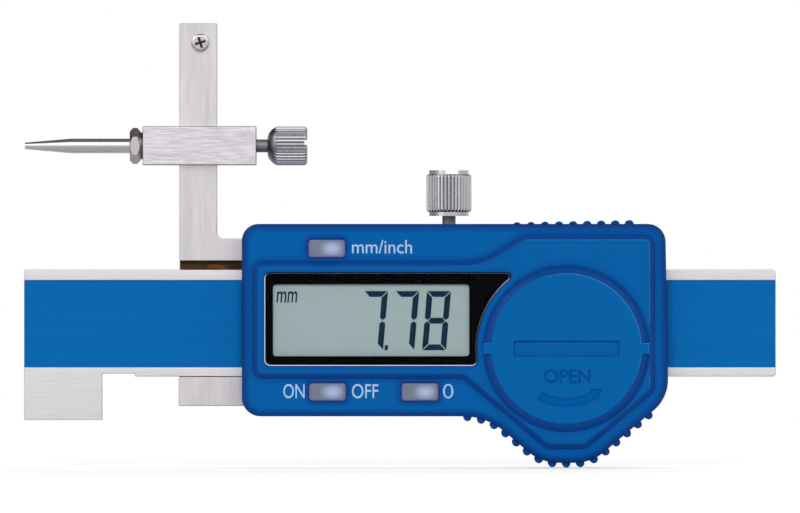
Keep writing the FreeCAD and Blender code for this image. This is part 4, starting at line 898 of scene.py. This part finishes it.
def segment_outline(segment):
    """Corner points of one segment in the digit's own upright box."""
    width = DIGIT_WIDTH
    height = DIGIT_HEIGHT
    middle = height / 2
    gap = SEGMENT_GAP
    half = STROKE / 2
    top = [(gap, height), (width - gap, height), (width - STROKE - gap, height - STROKE),
           (STROKE + gap, height - STROKE)]
    upper_right = [(width, height - gap), (width, middle + half), (width - half, middle + gap),
                   (width - STROKE, middle + half), (width - STROKE, height - STROKE - gap)]
    bar = [(half + gap, middle), (STROKE + gap, middle + half), (width - STROKE - gap, middle + half),
           (width - half - gap, middle), (width - STROKE - gap, middle - half),
           (STROKE + gap, middle - half)]
    outlines = {
        "a": top,
        "b": upper_right,
        "c": [(x, height - z) for x, z in upper_right],
        "d": [(x, height - z) for x, z in top],
        "e": [(width - x, height - z) for x, z in upper_right],
        "f": [(width - x, z) for x, z in upper_right],
        "g": bar,
    }
    return outlines[segment]


def lean(outline, left):
    """Places a digit's outline on the display with its slant."""
    return [(left + x - SLANT * (DIGIT_HEIGHT - z), DIGIT_BOTTOM + z) for x, z in outline]


def add_display_digits(material):
    """The reading 7.78, with its decimal point."""
    outlines = []
    for digit, left in zip(DIGIT_TEXT, DIGIT_LEFTS):
        outlines += [lean(segment_outline(segment), left) for segment in LIT_SEGMENTS[digit]]
    left = DIGIT_WIDTH + POINT_GAP
    right = left + POINT_WIDTH
    point = [(left, 0.0), (right, 0.0), (right, POINT_HEIGHT), (left, POINT_HEIGHT)]
    outlines.append(lean(point, DIGIT_LEFTS[0]))
    piece = new_plate("display_digits", outlines, DISPLAY_FRONT, PRINT_THICKNESS, material)
    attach(piece, "slider")


# Words: half of the depth of one, and boxes of the photograph as left, top, right and bottom
HALF_DEPTH = 0.5
UNIT_BOX = (276.2, 291.3, 297.3, 302.7)
UNIT_SLANT = 0.15
UNIT_WEIGHT = 0.01
COVER_WORD_BOX = (544.2, 369.5, 590.2, 383.2)
COVER_WORD_WEIGHT = 0.004

# Legends: the piece, its words, its box and its weight
LEGENDS = (
    ("legend_unit", "mm/inch", (352.0, 240.0, 412.0, 253.5), 0.003),
    ("legend_on", "ON", (283.3, 384.0, 304.6, 398.3), 0.003),
    ("legend_off", "OFF", (351.9, 384.0, 378.3, 398.3), 0.003),
    ("legend_zero", "0", (443.0, 384.0, 453.3, 398.3), -0.012),
)


def new_words(name, words, material, slant, weight):
    """A text object of one unit's depth."""
    curve = bpy.data.curves.new(name, "FONT")
    curve.body = words
    curve.shear = slant
    curve.offset = weight
    curve.extrude = HALF_DEPTH
    curve.materials.append(material)
    piece = bpy.data.objects.new(name, curve)
    bpy.context.scene.collection.objects.link(piece)
    bpy.context.view_layer.update()
    return piece


def add_words(name, words, material, box, front, body, slant=0.0, weight=0.0, thickness=PRINT_THICKNESS):
    """Words fitted into a box of the photograph (left, top, right, bottom), half sunk into a level."""
    left, top, right, bottom = box
    piece = new_words(name, words, material, slant, weight)
    spans = list(zip(*piece.bound_box))
    low = Vector([min(span) for span in spans])
    high = Vector([max(span) for span in spans])
    width = (column_to_x(right) - column_to_x(left)) * MM / (high.x - low.x)
    height = (row_to_z(top) - row_to_z(bottom)) * MM / (high.y - low.y)
    piece.scale = (width, height, thickness * MM)
    piece.rotation_euler = (math.pi / 2, 0.0, 0.0)
    piece.location = (column_to_x(left) * MM - low.x * width, -front * MM,
                      row_to_z(bottom) * MM - low.y * height)
    bpy.context.view_layer.update()
    if body:
        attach(piece, body)
    return piece


def add_legends(material):
    """White words beside the buttons."""
    for name, words, box, weight in LEGENDS:
        add_words(name, words, material, box, FACE_FRONT, "slider", weight=weight)


# Engraving on the battery cover: an arrow along an arc about the cover's centre, in millimetres and degrees
ARROW_INNER = 7.5
ARROW_OUTER = 8.7
ARROW_START = -29.0
ARROW_NECK = 30.0
ARROW_TIP = 41.0
ARROW_BARB_INNER = 7.1
ARROW_BARB_OUTER = 9.1
ARROW_STEPS = 16


def arrow_outline():
    """The curved arrow below the cover's centre. Its angles run from straight down towards the right."""
    centre_x, centre_z = cover_centre()

    def point(radius, angle):
        turn = math.radians(angle)
        return centre_x + radius * math.sin(turn), centre_z - radius * math.cos(turn)

    step = (ARROW_NECK - ARROW_START) / ARROW_STEPS
    angles = [ARROW_START + step * count for count in range(ARROW_STEPS + 1)]
    outer = [point(ARROW_OUTER, angle) for angle in angles]
    inner = [point(ARROW_INNER, angle) for angle in reversed(angles)]
    head = [point(ARROW_BARB_OUTER, ARROW_NECK), point((ARROW_INNER + ARROW_OUTER) / 2, ARROW_TIP),
            point(ARROW_BARB_INNER, ARROW_NECK)]
    return outer + head + inner


def as_mesh_object(piece):
    """A mesh in place of a text object."""
    graph = bpy.context.evaluated_depsgraph_get()
    mesh = bpy.data.meshes.new_from_object(piece.evaluated_get(graph))
    mesh.transform(piece.matrix_world)
    copy = bpy.data.objects.new(piece.name + "_cutter", mesh)
    bpy.context.scene.collection.objects.link(copy)
    bpy.data.objects.remove(piece)
    return copy


def apply_modifiers(piece):
    """Bakes the modifiers of a piece into its mesh."""
    graph = bpy.context.evaluated_depsgraph_get()
    mesh = bpy.data.meshes.new_from_object(piece.evaluated_get(graph))
    piece.modifiers.clear()
    piece.data = mesh


def engrave_cover(material):
    """A copy of the cover with the word and the arrow cut into its face."""
    node = NODES["battery_cover"]
    cover = bpy.data.objects.new("cover_engraved", node.data.copy())
    bpy.context.scene.collection.objects.link(cover)
    cover.data.materials.append(material)
    merge = cover.modifiers.new("merge", "WELD")
    merge.merge_threshold = COVER_SAME_POINT * MM
    word = add_words("cover_word", "OPEN", material, COVER_WORD_BOX, COVER_FRONT, None,
                     thickness=ENGRAVING_DEPTH * 2, weight=COVER_WORD_WEIGHT)
    arrow = new_plate("cover_arrow", [arrow_outline()], COVER_FRONT - ENGRAVING_DEPTH, ENGRAVING_DEPTH * 2,
                      material)
    for cutter in (as_mesh_object(word), arrow):
        cut = cover.modifiers.new("cut", "BOOLEAN")
        cut.operation = "DIFFERENCE"
        cut.solver = "EXACT"
        cut.object = cutter
        cut.material_mode = "TRANSFER"
        apply_modifiers(cover)
        bpy.data.objects.remove(cutter)
    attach(cover, "battery_cover")
    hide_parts("battery_cover")


def add_markings():
    """The display's print, the legends and the engraving, with their materials."""
    ink = moulded_plastic("display_ink", DISPLAY_INK, roughness=0.4, grain=3000.0, depth_mm=0.001,
                          specular=0.03)
    white = moulded_plastic("legend_white", LEGEND_WHITE, roughness=0.5, grain=3000.0, depth_mm=0.001,
                            specular=0.1)
    # The engraving's floor is rougher, and its colour is a little darker as painted shade
    engraved = moulded_plastic("engraved_blue", ENGRAVED_BLUE, roughness=0.6, grain=7000.0, depth_mm=0.008,
                               specular=0.05)
    add_display_digits(ink)
    add_words("display_unit", "mm", ink, UNIT_BOX, DISPLAY_FRONT, "slider", slant=UNIT_SLANT,
              weight=UNIT_WEIGHT)
    add_legends(white)
    engrave_cover(engraved)


# Room

ROOM_LIGHT = 0.22
SEEN_RAYS = ("Is Camera Ray", "Is Transmission Ray")
MIRRORED_RAYS = ("Is Glossy Ray",)

# The studio that metal mirrors: brightness by the height of a direction, before and behind the object,
# and by its side. Directions run from -1 to 1.
FRONT_HEIGHTS = ((-1.0, 0.92), (0.25, 0.98), (0.32, 1.8), (0.83, 1.8), (0.9, 0.2), (1.0, 0.18))
BACK_HEIGHTS = ((-1.0, 0.85), (0.25, 0.88), (0.4, 0.22), (1.0, 0.18))
FRONT_SIDES = ((-1.0, 0.45), (-0.92, 0.5), (-0.86, 1.8), (-0.64, 1.8), (-0.56, 1.0), (0.7, 1.0),
               (1.0, 0.85))
BACK_SIDES = ((-1.0, 0.4), (-0.3, 0.3), (-0.05, 1.0), (0.4, 1.0), (1.0, 0.85))
BEHIND = ((-0.1, 0.0), (0.1, 1.0))

FLOOR_GREY = (0.8, 0.8, 0.8, 1.0)
FLOOR_ROUGHNESS = 0.9
FLOOR_RADIUS = 0.6
FLOOR_CORNERS = 96
FLOOR_DROP = 0.0001
FLOOR_GLOW = 0.5
FLOOR_MIRROR_GLOW = 0.05

# Lamps: the name, the place in metres, the width in metres and the power in watts
LAMPS = (
    ("lamp_front", (0.02, -1.50, 0.30), 0.5, 15.5),
    ("lamp_top", (0.05, 0.10, 1.20), 0.5, 3.0),
    ("lamp_back", (0.30, 1.40, 0.50), 0.7, 10.0),
)


def ray_share(tree, names):
    """One where the ray is of any of the named kinds, else zero."""
    path = add_node(tree, "ShaderNodeLightPath")
    total = path.outputs[names[0]]
    for name in names[1:]:
        total = calculate(tree, "MAXIMUM", total, path.outputs[name])
    return total


def direction_ramp(tree, part, stops):
    """Brightness that follows one part of a direction."""
    share = map_range(tree, part, -1.0, 1.0)
    return follow_stops(tree, share, [((place + 1.0) / 2.0, brightness) for place, brightness in stops])


def studio_colour(tree):
    """Grey walls with a bright band before the object and a bright card at its left, and a dark ceiling."""
    place = add_node(tree, "ShaderNodeTexCoord")
    split = add_node(tree, "ShaderNodeSeparateXYZ", {"Vector": place.outputs["Generated"]})
    side, depth, height = [split.outputs[axis] for axis in "XYZ"]
    behind = direction_ramp(tree, depth, BEHIND)
    heights = mix_colours(tree, "MIX", behind, direction_ramp(tree, height, FRONT_HEIGHTS),
                          direction_ramp(tree, height, BACK_HEIGHTS))
    sides = mix_colours(tree, "MIX", behind, direction_ramp(tree, side, FRONT_SIDES),
                        direction_ramp(tree, side, BACK_SIDES))
    return mix_colours(tree, "MULTIPLY", 1.0, heights, sides)


def add_background(tree, colour, strength):
    """Light from all round."""
    inputs = {"Color": colour, "Strength": strength}
    return add_node(tree, "ShaderNodeBackground", inputs).outputs["Background"]


def make_world():
    """A soft room that shows white to the camera and, to metal, a studio with dark gaps."""
    world = bpy.data.worlds.new("studio")
    bpy.context.scene.world = world
    world.use_nodes = True
    tree = world.node_tree
    tree.nodes.clear()
    room = add_background(tree, WHITE, ROOM_LIGHT)
    white = add_background(tree, WHITE, 1.0)
    studio = add_background(tree, studio_colour(tree), 1.0)
    mirrored = mix_shaders(tree, ray_share(tree, MIRRORED_RAYS), room, studio)
    seen = mix_shaders(tree, ray_share(tree, SEEN_RAYS), mirrored, white)
    add_node(tree, "ShaderNodeOutputWorld", {"Surface": seen})


def add_floor():
    """A pale floor that stays white where no shadow falls."""
    material, tree, shader = new_material("floor_white")
    seen = product(tree, ray_share(tree, SEEN_RAYS), FLOOR_GLOW)
    mirrored = product(tree, ray_share(tree, MIRRORED_RAYS), FLOOR_MIRROR_GLOW)
    glow = calculate(tree, "ADD", seen, mirrored)
    feed_all(tree, shader, {"Base Color": FLOOR_GREY, "Roughness": FLOOR_ROUGHNESS,
                            "Specular IOR Level": 0.0, "Emission Color": WHITE, "Emission Strength": glow})
    low, high = CAD_BOX
    place = ((low[0] + high[0]) / 2, 0.0, low[2] - FLOOR_DROP)
    bpy.ops.mesh.primitive_circle_add(vertices=FLOOR_CORNERS, radius=FLOOR_RADIUS, fill_type="NGON",
                                      location=place)
    floor = bpy.context.object
    floor.name = "floor"
    floor.data.materials.append(material)


def add_lamp(name, place, width, power, target):
    """A square soft lamp that faces the target."""
    lamp = bpy.data.lights.new(name, "AREA")
    lamp.shape = "SQUARE"
    lamp.size = width
    lamp.energy = power
    holder = bpy.data.objects.new(name, lamp)
    holder.location = place
    holder.rotation_euler = (Vector(target) - Vector(place)).to_track_quat("-Z", "Y").to_euler()
    holder.visible_camera = False
    holder.visible_glossy = False
    bpy.context.scene.collection.objects.link(holder)


def add_lamps(target):
    """Soft light mostly from the reader's side."""
    for name, place, width, power in LAMPS:
        add_lamp(name, place, width, power, target)


def add_camera():
    """A camera square to the display, framed as the photograph is. Gives the point it looks at."""
    middle_x = column_to_x(PHOTO_WIDTH / 2) * MM
    middle_z = row_to_z(PHOTO_HEIGHT / 2) * MM
    view_width = PHOTO_WIDTH / PIXELS_PER_MM * MM
    data = bpy.data.cameras.new("camera")
    data.lens = LENS
    data.sensor_width = SENSOR
    data.clip_start = NEAREST_SEEN
    data.clip_end = FARTHEST_SEEN
    camera = bpy.data.objects.new("camera", data)
    distance = view_width * LENS / SENSOR
    camera.location = (middle_x, -distance - FACE_FRONT * MM, middle_z)
    camera.rotation_euler = (math.pi / 2, 0.0, 0.0)
    bpy.context.scene.collection.objects.link(camera)
    bpy.context.scene.camera = camera
    return Vector((middle_x, 0.0, middle_z))


def main():
    """Dresses the model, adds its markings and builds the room."""
    dress_nodes()
    break_all_edges()
    add_markings()
    make_world()
    add_floor()
    add_lamps(add_camera())
    bpy.context.scene.view_settings.view_transform = "Standard"
    bpy.context.view_layer.update()


main()
